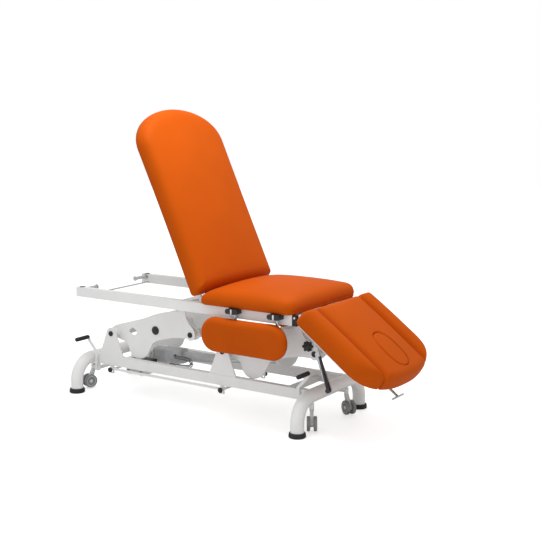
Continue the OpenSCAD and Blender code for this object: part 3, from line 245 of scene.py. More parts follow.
def plywood_material(name):
    """Bare birch plywood, its grain along X."""
    mat, tree, shader, at = new_material(name)
    face = tree.nodes.new("ShaderNodeMapping")
    face.inputs["Scale"].default_value = (1.0, 14.0, 1.0)
    tree.links.new(at, face.inputs["Vector"])
    grain = noise(tree, face.outputs["Vector"], 9.0, 6.0, 0.65)
    tree.links.new(
        ramp(tree, grain, [(0.3, (0.30, 0.19, 0.095)), (0.55, (0.50, 0.35, 0.19)),
                           (0.8, (0.62, 0.46, 0.27))]),
        shader.inputs["Base Color"],
    )
    tree.links.new(spread(tree, grain, 0.55, 0.75), shader.inputs["Roughness"])
    bump(tree, shader, [(grain, 0.3, 0.0004)])
    return mat


MATERIALS = {
    "white_coat": coat_material("white_coat", (0.91, 0.91, 0.905), 0.33),
    "black_plastic": plastic_material("black_plastic", (0.016, 0.016, 0.018), 0.42),
    "black_rubber": plastic_material("black_rubber", (0.018, 0.018, 0.018), 0.66, 500.0, 0.5),
    "black_steel": coat_material("black_steel", (0.024, 0.024, 0.026), 0.34),
    "grey_housing": plastic_material("grey_housing", (0.55, 0.56, 0.57), 0.45),
    "steel": steel_material("steel", (0.62, 0.63, 0.65), 0.27),
    "caster_grey": plastic_material("caster_grey", (0.70, 0.71, 0.72), 0.4),
    "tread_grey": plastic_material("tread_grey", (0.26, 0.263, 0.27), 0.55),
    "orange_vinyl": vinyl_material("orange_vinyl", (0.55, 0.086, 0.0022)),
    "plywood": plywood_material("plywood"),
}
# Pale colour of the painted highlight on each clamp knob
PAINTED_HIGHLIGHT = plastic_material("painted_highlight_white", (0.72, 0.72, 0.71), 0.35)
CORD_GREY = plastic_material("cord_grey", (0.20, 0.205, 0.21), 0.4)


# CAD nodes
SLOT_OF = {s["node"]: s["material_slot"] for s in frame["record"]["subparts"]}

# Edge radii in metres, where they aren't the usual one
EDGE_R = 0.0009
SOFT_EDGE = {"rubber_feet": 0.0015, "control_box": 0.0012, "lift_actuator_body": 0.0015,
             "back_actuator_body": 0.0015, "star_knob": 0.0018, "near_left_knob": 0.003,
             "near_right_knob": 0.003, "far_left_knob": 0.003, "far_right_knob": 0.003}


def dress(name, node):
    """Gives a node that stays its material, rounded edges and smooth shading."""
    mesh = node.data
    mesh.materials.clear()
    mesh.materials.append(MATERIALS[SLOT_OF[name]])
    for attribute in list(mesh.attributes):
        if attribute.name == "custom_normal":
            mesh.attributes.remove(attribute)
    mesh.polygons.foreach_set("use_smooth", [True] * len(mesh.polygons))
    weld = node.modifiers.new("weld", "WELD")
    weld.merge_threshold = 0.00002
    edge = node.modifiers.new("edge", "BEVEL")
    edge.width = SOFT_EDGE.get(name, EDGE_R)
    edge.segments = 2
    edge.limit_method = "ANGLE"
    edge.angle_limit = math.radians(32)
    edge.use_clamp_overlap = True
    normals = node.modifiers.new("normals", "WEIGHTED_NORMAL")
    normals.weight = 60
    normals.keep_sharp = False


for node_name, node in frame["nodes"].items():
    dress(node_name, node)


# Mesh helpers
def piece(name, verts, faces, body, slot, mat=None, smooth=True, swaps=()):
    """A mesh piece from points in millimetres of the construction frame."""
    mesh = bpy.data.meshes.new(name)
    pts = (np.asarray(verts, float) + ORIGIN) / 1000
    mesh.from_pydata(pts.tolist(), [], [tuple(int(i) for i in f) for f in faces])
    mesh.validate()
    obj = bpy.data.objects.new(name, mesh)
    bpy.context.scene.collection.objects.link(obj)
    mesh.materials.append(mat or MATERIALS[slot])
    mesh.polygons.foreach_set("use_smooth", [smooth] * len(mesh.polygons))
    if swaps:
        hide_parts(*swaps)
    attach(obj, body)
    return obj


def rotation(axis):
    """Matrix that turns +Z onto the axis."""
    z = np.asarray(axis, float)
    z = z / np.linalg.norm(z)
    x = np.cross([0, 1, 0] if abs(z[1]) < 0.9 else [1, 0, 0], z)
    x = x / np.linalg.norm(x)
    return np.stack([x, np.cross(z, x), z], 1)


def ring_faces(rows, n):
    """Faces between closed rows of n points each."""
    faces = []
    for j in range(rows - 1):
        for i in range(n):
            k = (i + 1) % n
            faces.append((j * n + i, j * n + k, (j + 1) * n + k, (j + 1) * n + i))
    return faces


def ended(pts, n):
    """Closed rows of n points as a shape, with a flat face over each end."""
    rows = len(pts) // n
    faces = ring_faces(rows, n)
    faces.append(tuple(reversed(range(n))))
    faces.append(tuple(range((rows - 1) * n, rows * n)))
    return np.array(pts), faces


def capped(rows, low, high):
    """Closed rows as a shape, with a fan of faces to a point at each end."""
    n = len(rows[0])
    faces = ring_faces(len(rows), n)
    last, total = (len(rows) - 1) * n, len(rows) * n
    faces += [((i + 1) % n, i, total) for i in range(n)]
    faces += [(last + i, last + (i + 1) % n, total + 1) for i in range(n)]
    return np.concatenate([*rows, [low, high]]), faces


def looped(rows):
    """Closed rows as a shape, the last joined to the first."""
    n = len(rows[0])
    faces = ring_faces(len(rows), n)
    last = (len(rows) - 1) * n
    faces += [(last + i, last + (i + 1) % n, (i + 1) % n, i) for i in range(n)]
    return np.concatenate(rows), faces


def revolve(profile, steps=32):
    """A closed turned body from (radius, height) points, about +Z."""
    pts = []
    for r, z in profile:
        for k in range(steps):
            a = 2 * math.pi * k / steps
            pts.append((r * math.cos(a), r * math.sin(a), z))
    return ended(pts, steps)


def placed(shape, at, axis=(0, 0, 1)):
    """The shape with its +Z along the axis and its origin at the point."""
    pts, faces = shape
    return pts @ rotation(axis).T + np.asarray(at, float), faces


def joined(shapes):
    """Several shapes as the points and faces of one."""
    pts, faces, base = [], [], 0
    for p, f in shapes:
        pts.append(p)
        faces += [tuple(base + i for i in q) for q in f]
        base += len(p)
    return np.concatenate(pts), faces


def screw_head(r, h):
    """Domed socket head: the rim, the dome and a six-sided socket."""
    steps = 24
    dome = [(r, 0), (r, 0.35 * h), (0.93 * r, 0.68 * h), (0.75 * r, 0.9 * h), (0.5 * r, h)]
    pts = [(q * math.cos(2 * math.pi * k / steps), q * math.sin(2 * math.pi * k / steps), z)
           for q, z in dome for k in range(steps)]
    hexed = []
    for depth, share in ((h, 1.0), (0.35 * h, 0.97)):
        for k in range(steps):
            a = 2 * math.pi * k / steps
            near = (a + math.pi / 6) % (math.pi / 3) - math.pi / 6
            q = 0.4 * r * share / math.cos(near)
            hexed.append((q * math.cos(a), q * math.sin(a), depth))
    pts += hexed
    rows = len(dome) + 2
    faces = ring_faces(rows, steps)
    last = (rows - 1) * steps
    faces.append(tuple(range(last, last + steps)))
    faces.append(tuple(reversed(range(steps))))
    return np.array(pts), faces


def bead(a, b, r):
    """Weld bead between two points, scalloped along its length."""
    n = 8
    a, b = np.asarray(a, float), np.asarray(b, float)
    length = np.linalg.norm(b - a)
    rows = max(6, int(length / 1.6))
    turn = rotation(b - a)
    pts = []
    for j in range(rows + 1):
        t = j / rows
        end = min(1.0, 6 * min(t, 1 - t) + 0.25)
        q = r * end * (1 + 0.13 * math.cos(2 * math.pi * t * length / 4.5))
        for k in range(n):
            w = 2 * math.pi * k / n
            pts.append(a + (b - a) * t + turn @ np.array([q * math.cos(w), q * math.sin(w), 0]))
    return ended(pts, n)


def rounded_plug(w, h, t, r=2.0):
    """Flat plug with rounded edges, its face along +Z."""
    n = 6
    pts = []
    for inset, z in ((0, 0), (0, 0.5 * t), (0.25 * t, 0.85 * t), (0.6 * t, t)):
        for cx, cy, a0 in ((1, 1, 0), (-1, 1, 90), (-1, -1, 180), (1, -1, 270)):
            for k in range(n):
                a = math.radians(a0 + 90 * k / (n - 1))
                rr = max(r - inset, 0.4)
                pts.append((cx * (w / 2 - inset - rr) + rr * math.cos(a),
                            cy * (h / 2 - inset - rr) + rr * math.sin(a), z))
    return ended(pts, 4 * n)


# Places of the sections: each takes points of its own plan to where it rests
def turned_y(p, a):
    """Points turned about Y, so that +X dips."""
    p = np.asarray(p, float)
    c, s = math.cos(a), math.sin(a)
    return np.stack([p[..., 0] * c + p[..., 2] * s, p[..., 1],
                     p[..., 2] * c - p[..., 0] * s], -1)


def on_seat(p):
    return np.asarray(p, float) + (0, 0, TOP_Z + 0.3)


def at_back(p):
    return turned_y(p, BACK_REST) + (BACK_HINGE[0], 0, BACK_HINGE[1])


def on_back(p):
    return at_back(np.asarray(p, float) + (0, 0, BACK_UNDER))


def at_leg(p):
    return turned_y(p, LEG_REST) + (LEG_HINGE[0], 0, LEG_HINGE[1])


def on_leg(p):
    return at_leg(np.asarray(p, float) + (0, 0, LEG_UNDER))


# Upholstery
# Wall of a cushion from its foot to the start of its crown: inset, share of the thickness
RINGS = [(8, 0), (2, 0.1), (0, 0.32), (2, 0.56), (7, 0.76), (15, 0.9), (27, 0.99), (40, 1.03)]
TOP_SHARE = RINGS[-1][1]
DRAW = 0.006
CROWN_POWER = 2.4
CROWN_ROWS = 16


def through(points, steps):
    """A soft curve through the points, with the last point as its end."""
    p = np.array(points, float)
    out = []
    for i in range(len(p) - 1):
        a, b, c, d = p[max(i - 1, 0)], p[i], p[i + 1], p[min(i + 2, len(p) - 1)]
        for k in range(steps):
            t = k / steps
            out.append(0.5 * (2 * b + (c - a) * t + (2 * a - 5 * b + 4 * c - d) * t * t
                              + (3 * b - a - 3 * c + d) * t ** 3))
    out.append(p[-1])
    return np.array(out)


def corner(cx, cy, r, a0, n):
    """Quarter of a circle from the angle a0, as n + 1 points."""
    a = np.radians(a0 + 90 * np.arange(n + 1) / n)
    return np.stack([cx + r * np.cos(a), cy + r * np.sin(a)], 1)


def side(a, b, n, share):
    """Points between two corners, drawn in or out by a share of the length."""
    t = (np.arange(1, n) / n)[:, None]
    w = b - a
    return a + w * t + share * np.sin(np.pi * t) * np.array([[-w[1], w[0]]])


def rect_outline(lo, hi, radii, end_share=DRAW, draw=DRAW, n=10, m=36):
    """Outline with rounded corners, as a function of how far in it runs."""
    def at(d):
        r = [max(q - d, 4) for q in radii]
        (x0, y0), (x1, y1) = (lo[0] + d, lo[1] + d), (hi[0] - d, hi[1] - d)
        a = corner(x1 - r[0], y1 - r[0], r[0], 0, n)
        b = corner(x0 + r[1], y1 - r[1], r[1], 90, n)
        c = corner(x0 + r[2], y0 + r[2], r[2], 180, n)
        e = corner(x1 - r[3], y0 + r[3], r[3], 270, n)
        return np.concatenate([a, side(a[-1], b[0], m, draw), b, side(b[-1], c[0], m, draw),
                               c, side(c[-1], e[0], m, draw), e,
                               side(e[-1], a[0], m, end_share)])
    return at


def headed_outline(x0, x1, w, r, head):
    """Outline with a round head at its x0 end, as a function of how far in it runs."""
    n, m = 10, 36

    def at(d):
        h, s, x = w / 2 - d, max(r - d, 4), x1 - d
        b = corner(x - s, h - s, s, 0, n)
        c = corner(x - s, s - h, s, 270, n)
        a = np.radians(180 * np.arange(61) / 60)
        e = np.stack([x0 + head - (head - d) * np.sin(a), h * np.cos(a)], 1)
        return np.concatenate([b, side(b[-1], e[0], m, DRAW), e, side(e[-1], c[0], m, DRAW),
                               c, side(c[-1], b[0], m, DRAW)])
    return at


def crown_share(p, mid, half):
    """How far the crown has risen at a plan point: none at the edge, all in the middle."""
    q = np.clip(np.abs((p - mid) / half), 0, 1) ** CROWN_POWER
    return (1 - q[..., 0]) * (1 - q[..., 1])


# Rolled edge beside the face opening: how far out from it, and how far down
RIM = [(9.0, 0.0), (6.6, 0.6), (4.4, 1.9), (2.4, 3.8), (1.0, 6.3), (0.2, 9.5), (0.0, 16.0)]

# Recess for the board: how far in it starts and how deep it is. A drooping edge hangs
# below the board beyond DROOP_X and DROOP_Y, growing over the run that goes with each.
RECESS = (20.5, 15.5)
DROOP_X, DROOP_RUN, DROOP_Y, DROOP_EDGE = 375, 45, 284, 8
REAR_RUN, LEAN_RUN = 120, 90

# Shares of the thickness: where the crown, a lowered rear and a seam begin and over how
# much they grow, and where the gathers and the droop end
CROWN_GROWS, REAR_GROWS, SEAM_GROWS = (0.56, 0.47), (0.3, 0.7), (0.5, 0.4)
FOLD_END, FOLD_PITCH, DROOP_END = 0.45, 9.0, 0.6


def grown(share, start, run):
    """How far a form has grown at a share of the thickness: 0 at its start, 1 after its run."""
    return min(1, max(0, (share - start) / run))


def wall_facts(base):
    """Outward normals of an outline, how sharply it bends, and the way run along it."""
    tangent = np.roll(base, -1, 0) - np.roll(base, 1, 0)
    tangent /= np.linalg.norm(tangent, axis=1)[:, None]
    normal = np.stack([tangent[:, 1], -tangent[:, 0]], 1)
    bend = np.linalg.norm(np.roll(tangent, -1, 0) - np.roll(tangent, 1, 0), axis=1)
    bend = np.convolve(np.concatenate([bend[-4:], bend, bend[:4]]), np.ones(9) / 9, "valid")
    bend = np.clip(bend / (bend.max() + 1e-9), 0, 1)
    pace = np.concatenate([[0], np.cumsum(np.linalg.norm(np.diff(base, axis=0), axis=1))])
    return normal, bend, pace


def hang(row, t, droop):
    """Lowers a row of points at the outer edges, most where the row is low."""
    low = np.clip(1 - row[:, 2] / (DROOP_END * t), 0, 1)
    edge = np.maximum(np.clip((row[:, 0] - DROOP_X) / DROOP_RUN, 0, 1) ** 2,
                      np.clip((np.abs(row[:, 1]) - DROOP_Y) / DROOP_EDGE, 0, 1))
    row[:, 2] -= droop * edge * low ** 0.5


def pad(name, outline, t, rise, place, body, node, f=1.0, lean=0.0, hole=None,
        recess=RECESS, folds=0.9, groove=None, crown_box=None, rear_drop=0.0, seams=(),
        droop=0.0):
    """A cushion: flat underneath with a recess for its board, a wall that bellies
    out and rolls over, and a crowned top.

    The wall's insets are scaled by f. lean shears the end wall, rear_drop lowers the
    crown at the low end, and droop hangs the outer edges below the board. folds is the
    depth of the gathers at the corners, groove a line pressed into one wall, and each
    seam a valley along X at its y, with its width and depth.
    """
    wall = [(f * inset, share) for inset, share in through(RINGS, 4)]
    base = outline(0)
    n = len(base)
    mid = np.array([(base[:, 0].min() + base[:, 0].max()) / 2,
                    (base[:, 1].min() + base[:, 1].max()) / 2])
    normal, bend, pace = wall_facts(base)
    lo, hi = (base.min(0), base.max(0)) if crown_box is None else map(np.array, crown_box)
    crown_mid, crown_half = (lo + hi) / 2, (hi - lo) / 2

    def height(p, share):
        grow = grown(share, *CROWN_GROWS)
        z = share * t + rise * grow * grow * (3 - 2 * grow) * crown_share(p, crown_mid, crown_half)
        if rear_drop:
            back = np.clip(1 - (p[:, 0] - base[:, 0].min()) / REAR_RUN, 0, 1)
            z = z - rear_drop * back ** 2 * grown(share, *REAR_GROWS)
        for seam_y, wide, deep in seams:
            near = np.clip(1 - np.abs(p[:, 1] - seam_y) / wide, 0, 1)
            z = z - deep * near ** 2 * grown(share, *SEAM_GROWS)
        return z

    def row_at(p, z):
        return np.column_stack([p, np.full(n, z)])

    # The wall, then the crown
    rows = []
    for d, share in wall:
        p = outline(d)
        gather = np.cos(pace * 2 * math.pi / FOLD_PITCH)
        push = folds * bend * gather * max(0, 1 - share / FOLD_END)
        if groove is not None:
            centre, width, depth, facing = groove
            faced = np.clip((normal @ facing - 0.6) / 0.3, 0, 1)
            push = push - depth * math.exp(-((share - centre) / width) ** 2) * faced
        p = p + normal * push[:, None]
        rows.append(row_at(p, height(p, share)))
    top = outline(wall[-1][0])
    middle = hole(0) if hole is not None else mid
    for c in range(1, CROWN_ROWS):
        q = top + (middle - top) * (c / CROWN_ROWS) ** 0.9
        rows.append(row_at(q, height(q, TOP_SHARE)))

    # The recess under it, and the rolled edge beside the face opening
    under, deep = [], 0.0
    if recess is not None:
        inset, deep = recess
        lip = outline(inset)
        under = [row_at(lip, deep), row_at(lip, 0.0)]
    if hole is not None:
        for back, drop in RIM:
            q = hole(back)
            rows.append(row_at(q, height(q, TOP_SHARE) - drop))
        rows.append(row_at(hole(0), deep))
    if droop:
        for row in under[1:] + rows:
            hang(row, t, droop)
    rows = under + rows
    if lean:
        end = base[:, 0].max()
        for row in rows:
            row[:, 0] -= lean * row[:, 2] * np.clip(1 - (end - row[:, 0]) / LEAN_RUN, 0, None)
    if hole is not None:
        pts, faces = looped(rows)
    else:
        high = float(height(mid[None], TOP_SHARE)[0]) + 0.02
        pts, faces = capped(rows, [*mid, deep], [*mid, high])
    obj = piece(name, place(pts), faces, body, "orange_vinyl", swaps=(node,))


pad("seat_upholstery",
    rect_outline((SEAT_X - 6, -HALF_W), (SEAT_X + SEAT_L + 7, HALF_W), (52, 44, 44, 52)),
    PAD_T, 36, on_seat, "upper_frame", "seat_cushion", rear_drop=22, f=1.2,
    groove=(0.24, 0.05, 3.0, np.array([1.0, 0.0])))
pad("backrest_upholstery",
    headed_outline(-25 - BACK_L, -19, TABLE_W + 20, 24, 197),
    79, 22, on_back, "backrest", "backrest_cushion", lean=0.22, f=1.3)


# The end of the leg section is one broad curve over its three pads
LEG_START, CURVE_X, CURVE_L, CURVE_POWER = 20, 350, 183, 2.5
SEAM_Y, SEAM_HALF = 205, 3
SEAM_CORNER_R, CORNER_STEPS, SIDE_STEPS = 9, 8, 40


def end_x(y, d=0.0):
    """X of the broad curve at y, run in by d."""
    across = np.clip(np.abs(y) / (HALF_W - d), 0, 1)
    return CURVE_X + (CURVE_L - d) * (1 - across ** CURVE_POWER) ** (1 / CURVE_POWER)


def middle_outline(d):
    """Middle pad of the leg section, with its far end on the broad curve."""
    y1, x0, r = SEAM_Y - SEAM_HALF - d, LEG_START + d, max(20 - d, 4)
    e = max(SEAM_CORNER_R - d, 3)
    rear_a = corner(x0 + r, y1 - r, r, 90, CORNER_STEPS)
    rear_b = corner(x0 + r, r - y1, r, 180, CORNER_STEPS)
    s = y1 - e
    tip = end_x(s, d)
    a = corner(tip - e, s, e, 0, CORNER_STEPS)
    b = corner(tip - e, -s, e, 270, CORNER_STEPS)
    y = np.linspace(-s, s, 62)[1:-1]
    end = np.stack([end_x(y, d), y], 1)
    return np.concatenate([a, side(a[-1], rear_a[0], SIDE_STEPS, 0.003), rear_a,
                           side(rear_a[-1], rear_b[0], SIDE_STEPS, 0.004), rear_b,
                           side(rear_b[-1], b[0], SIDE_STEPS, 0.003), b, end])


def wing_outline(d):
    """Near wing of the leg section: straight seam, curved end."""
    y0, y1, x0 = -HALF_W + d, -SEAM_Y - SEAM_HALF - d, LEG_START + d
    e, r = max(SEAM_CORNER_R - d, 3), max(24 - d, 4)
    rear_a = corner(x0 + r, y1 - r, r, 90, CORNER_STEPS)
    rear_b = corner(x0 + r, y0 + r, r, 180, CORNER_STEPS)
    s = y1 - e
    a = corner(end_x(s, d) - e, s, e, 0, CORNER_STEPS)
    w = np.radians(np.linspace(90, 0, 46)[:-1])
    y = -(HALF_W - d) * np.sin(w) ** 0.8
    keep = y < s
    end = np.stack([end_x(y[keep], d), y[keep]], 1)
    count = 45 - len(end)
    more = np.linspace(end[-1, 1], s, count + 2)[1:-1]
    end = np.concatenate([end, np.stack([end_x(more, d), more], 1)])
    return np.concatenate([a, side(a[-1], rear_a[0], SIDE_STEPS, 0.002), rear_a,
                           side(rear_a[-1], rear_b[0], 14, 0.006), rear_b,
                           side(rear_b[-1], end[0], 36, 0.002), end])


# Face opening: its middle, its half length, and its half width through the board
OVAL_X, OVAL_L, OVAL_W, OVAL_GAP = 377, 106, 52, 0.5
OVAL_FULL_W, OVAL_POWER = 63, 0.82
EVENNESS = 0.65


def oval_angles(p):
    """Directions from the middle of the face opening to the points."""
    return np.arctan2(p[:, 1] / OVAL_W, (p[:, 0] - OVAL_X) / OVAL_L)


def oval(angles, grow, half_w=OVAL_FULL_W, power=OVAL_POWER):
    """Outline of the face opening: fuller than an ellipse, narrower through the board."""
    c, w = np.cos(angles), np.sin(angles)
    return np.stack([OVAL_X + (OVAL_L + grow) * np.sign(c) * np.abs(c) ** power,
                     (half_w + grow) * np.sign(w) * np.abs(w) ** power], 1)


# Directions of the opening's points, one for each point of the middle pad's outline:
# between those in which these lie and evenly spread ones
ends = middle_outline(0)
count = len(ends)
facing = np.unwrap(oval_angles(ends))
even = facing[0] + 2 * np.pi * np.arange(count) / count
mixed = (1 - EVENNESS) * facing + EVENNESS * even

LEG_RISE, LEG_DROOP = 12, 15
LEG_BOX_Y = 204.7
LEG_BOX = ((LEG_START, -LEG_BOX_Y), (CURVE_X + CURVE_L, LEG_BOX_Y))
pad("leg_upholstery", middle_outline, PAD_T, LEG_RISE, on_leg, "leg_section", "leg_cushion",
    f=0.95, hole=lambda d: oval(mixed, OVAL_GAP + d), crown_box=LEG_BOX,
    seams=((-SEAM_Y, 36, 14), (SEAM_Y, 36, 14)), droop=LEG_DROOP)


def mirrored(outline):
    """The outline on the other side of the table."""
    def at(d):
        p = outline(d)
        return np.stack([p[:, 0], -p[:, 1]], 1)[::-1]
    return at


WING_BOX_X = (-60, 640)
for wing_name, s, outline in (("near_wing", -1, wing_outline),
                              ("far_wing", 1, mirrored(wing_outline))):
    box_y = sorted((s * SEAM_Y, s * HALF_W))
    pad(wing_name + "_upholstery", outline, PAD_T, 15, on_leg, "leg_section", wing_name,
        crown_box=tuple(zip(WING_BOX_X, box_y)), seams=((s * SEAM_Y, 24, 8),),
        droop=LEG_DROOP)


def plug_piece():
    """Loose oval pad that fills the face opening, flush with the pad around it."""
    lo, hi = np.array(LEG_BOX)
    mid, half = (lo + hi) / 2, (hi - lo) / 2

    def top(q):
        return TOP_SHARE * PAD_T + LEG_RISE * crown_share(q, mid, half)

    def ring(inset, drop):
        q = oval(mixed, -inset)
        return np.column_stack([q, top(q) - drop])

    hollow = 3.0
    rows = []
    for inset, z in ((18, hollow), (18, 0.0), (2, 0.0), (0.4, 1.5), (0.0, 4.0), (0.0, 15.6)):
        rows.append(np.column_stack([oval(mixed, -inset, OVAL_W, 1.0), np.full(count, z)]))
    rows.append(np.column_stack([oval(mixed, 0), np.full(count, 17.5)]))
    rows += [ring(back, drop) for back, drop in reversed(RIM)]
    rows += [ring(RIM[0][0] + 46 * k / 9, 0) for k in range(1, 9)]
    centre = np.array([float(OVAL_X), 0.0])
    pts, faces = capped(rows, [*centre, hollow], [*centre, float(top(centre))])
    obj = piece("plug_upholstery", on_leg(pts), faces, "plug", "orange_vinyl",
                swaps=("face_plug",))


plug_piece()


BOARD_X, BOARD_R = (45, 465), (95, 4, 4, 95)


def board_piece():
    """Board of the leg section, its far corners rounded so that the pads cover them."""
    outer = rect_outline((BOARD_X[0], -BOARD_HALF_W), (BOARD_X[1], BOARD_HALF_W), BOARD_R,
                         0.0, 0.0)(0)
    inner = oval(oval_angles(outer), OVAL_GAP, OVAL_W, 1.0)
    pts, faces = looped([np.column_stack([q, np.full(len(q), z)])
                         for q, z in ((outer, 0.0), (outer, BOARD_T),
                                      (inner, BOARD_T), (inner, 0.0))])
    piece("leg_board_panel", on_leg(pts), faces, "leg_section", "plywood", smooth=False,
          swaps=("leg_board",))


board_piece()


ARMREST_AT, ARMREST_Y = (411, 439), 300.3
ARMREST_HALF, ARMREST_R, ARMREST_T = (243.5, 86), 81.5, 39


def armrest_place(s):
    """Place of the armrest pad: on edge at the side s of the table, its top outward."""
    def at(p):
        p = np.asarray(p, float)
        q = np.stack([p[..., 0], -p[..., 2], p[..., 1]], -1)
        if s > 0:
            q = q * (-1, -1, 1)
        return q + (ARMREST_AT[0], s * ARMREST_Y, ARMREST_AT[1])
    return at


for side_name, s in (("near", -1), ("far", 1)):
    a, b = ARMREST_HALF
    pad(side_name + "_armrest_upholstery",
        rect_outline((-a, -b), (a, b), (ARMREST_R,) * 4, n=22, m=20), ARMREST_T, 7,
        armrest_place(s), side_name + "_armrest", side_name + "_armrest_pad", f=0.7,
        recess=None, folds=0.5)


# Curly cord
ROUTE = [(-230, -32.5, 212), (-230, -44, 212), (-222, -58, 213), (-200, -66, 214),
         (-150, -66, 214), (-112, -66, 210), (-96, -66, 194), (-110, -66, 176),
         (-150, -66, 170), (-200, -66, 168), (-260, -66, 168), (-320, -66, 168),
         (-343.5, -66, 168)]
CURL_R, CURL_PITCH, CURL_COUNT, CURL_FROM, WIRE_R = 8.4, 8, 36, 40, 1.7
CURL_STEPS, PLAIN_STEP = 16, 8.0


def make_cord():
    """Middle line of the cord: straight ends, and coils that open and close softly."""
    fine = through(ROUTE, 6)
    pace = np.concatenate([[0], np.cumsum(np.linalg.norm(np.diff(fine, axis=0), axis=1))])
    span = pace[-1]

    def at(s):
        return np.array([np.interp(s, pace, fine[:, k]) for k in range(3)])

    to = CURL_FROM + CURL_COUNT * CURL_PITCH
    marks = list(np.arange(0, CURL_FROM - 1, PLAIN_STEP))
    marks += list(CURL_FROM + np.arange(CURL_COUNT * CURL_STEPS + 1) * CURL_PITCH / CURL_STEPS)
    marks += list(np.arange(to + PLAIN_STEP, span - PLAIN_STEP, PLAIN_STEP)) + [span]
    pts = []
    for s in marks:
        way = at(min(s + CURL_PITCH, span)) - at(max(s - CURL_PITCH, 0))
        way /= np.linalg.norm(way)
        b = np.cross(way, [0, 0.2, 1])
        b /= np.linalg.norm(b)
        nrm = np.cross(b, way)
        t = (s - CURL_FROM) / CURL_PITCH
        q = min(1, max(0, min(t, CURL_COUNT - t)))
        a = 2 * math.pi * t
        pts.append(at(s) + CURL_R * q * (b * math.cos(a) + nrm * math.sin(a)))
    return np.array(pts)


def cord_piece():
    """The cord as a round curve that rides with the actuator."""
    pts = (make_cord() + ORIGIN) / 1000
    curve = bpy.data.curves.new("curly_cord_lead", "CURVE")
    curve.dimensions = "3D"
    spline = curve.splines.new("POLY")
    spline.points.add(len(pts) - 1)
    for point, co in zip(spline.points, pts):
        point.co = (*co, 1)
    curve.bevel_depth = WIRE_R / 1000
    curve.bevel_resolution = 3
    curve.use_fill_caps = True
    curve.materials.append(CORD_GREY)
    obj = bpy.data.objects.new("curly_cord_lead", curve)
    bpy.context.scene.collection.objects.link(obj)
    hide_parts("curly_cord")
    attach(obj, "lift_actuator")


cord_piece()


# Wheels, grips
WHEEL_AT, WHEEL_R, WHEEL_T, WHEEL_GAP = (25, 0, 40), 36.0, 15.0, 9.0


def wheel():
    """One wheel about +Z: a tyre with a rounded tread, and a dished hub."""
    z0, t, r = WHEEL_GAP, WHEEL_T, WHEEL_R
    tyre = [(r - 8, z0), (r - 2.4, z0), (r - 0.6, z0 + 1.2), (r, z0 + 3), (r, z0 + t - 3),
            (r - 0.6, z0 + t - 1.2), (r - 2.4, z0 + t), (r - 8, z0 + t), (r - 9, z0 + t - 1)]
    hub = [(4.5, z0 + 0.3), (r - 9.2, z0 + 0.3), (r - 9.2, z0 + t - 0.6),
           (r - 10.4, z0 + t - 0.2), (r - 12, z0 + t - 1.2), (r - 14, z0 + t - 3.2),
           (12, z0 + t - 3.2), (10.5, z0 + t - 1.5), (9, z0 + t - 0.3), (3, z0 + t)]
    return revolve(tyre, 56), revolve(hub, 56)


def caster_wheels(name, side_x, s, angle, body):
    """Both wheels of a caster that is turned by angle, with spokes and an axle."""
    a = math.radians(angle)
    turn = np.array([[math.cos(a), -math.sin(a), 0], [math.sin(a), math.cos(a), 0], [0, 0, 1]])
    origin = np.array([side_x * FOOT_X, s * CASTER_Y, 0.0])

    def put(shape, axis):
        pts, faces = placed(shape, WHEEL_AT, axis)
        return pts @ turn.T + origin, faces

    tyres, hubs = [], []
    for m in (1, -1):
        tyre, hub = wheel()
        axis = (0, m, 0)
        tyres.append(put(tyre, axis))
        hubs.append(put(hub, axis))
        for k in range(6):
            w = 2 * math.pi * k / 6
            spoke = rounded_plug(12, 3.2, 2.4, 1.2)
            pts = spoke[0] @ np.array([[math.cos(w), math.sin(w), 0],
                                       [-math.sin(w), math.cos(w), 0], [0, 0, 1]])
            pts = pts + (17 * math.cos(w), 17 * math.sin(w), WHEEL_GAP + 11.6)
            hubs.append(put((pts, spoke[1]), axis))
    hubs.append(put(revolve([(4, -10), (4, 10)], 20), (0, 1, 0)))
    piece(name + "_tyres", *joined(tyres), body, "tread_grey", swaps=(name + "_wheels",))
    piece(name + "_hubs", *joined(hubs), body, "caster_grey")


for name, sx, s, angle in (("near_left", -1, -1, -110), ("far_left", -1, 1, 100),
                           ("near_right", 1, -1, -56), ("far_right", 1, 1, -30)):
    caster_wheels(name, sx, s, angle, name + "_wheel_pair")


def grip(name, sx, body):
    """Ribbed rubber grip on the hand lever, with a domed end."""
    ribs, rib_pitch = 13, 6.1
    profile = [(6.5, 0.0), (10.2, 0.0), (11, 1.2)]
    for k in range(ribs):
        z = 6 + k * rib_pitch
        profile += [(11, z), (10.1, z + 0.9), (10.1, z + 2.0), (11, z + 2.9)]
    profile += [(11, 88), (10.4, 91), (8.6, 92.6), (5, 93)]
    at = (sx * (SHAFT_X + 50), -198, SHAFT_Z + 168)
    piece(name + "_lever_cover", *placed(revolve(profile, 36), at, (0, -1, 0)), body,
          "black_rubber", swaps=(name + "_lever_grip",))


grip("left", -1, "left_lever")
grip("right", 1, "right_lever")


# Small details
def screws(name, places, r, h, body, slot="steel"):
    """One piece of alike screw heads, each at its place and along its axis."""
    piece(name, *joined([placed(screw_head(r, h), at, axis) for at, axis in places]),
          body, slot)


# Pin heads of the arms: a hex socket in each cap, and in the plug of the middle tube
for arm, x in (("left", LIFT_X[0]), ("right", LIFT_X[1])):
    eyes = [(x, PIVOT_Z), (x + ARM_RUN, HANGER_Z)]
    places = [((ex, s * 189.5, ez), (0, s, 0)) for ex, ez in eyes for s in (-1, 1)]
    screws(arm + "_pin_screws", places, 8, 2.4, arm + "_arm", "black_plastic")
    tube_x, tube_z = x + ARM_L * 0.517, PIVOT_Z + ARM_L * 0.082
    screws(arm + "_plug_screws", [((tube_x, s * 152, tube_z), (0, s, 0)) for s in (-1, 1)],
           12, 2.0, arm + "_arm", "black_plastic")

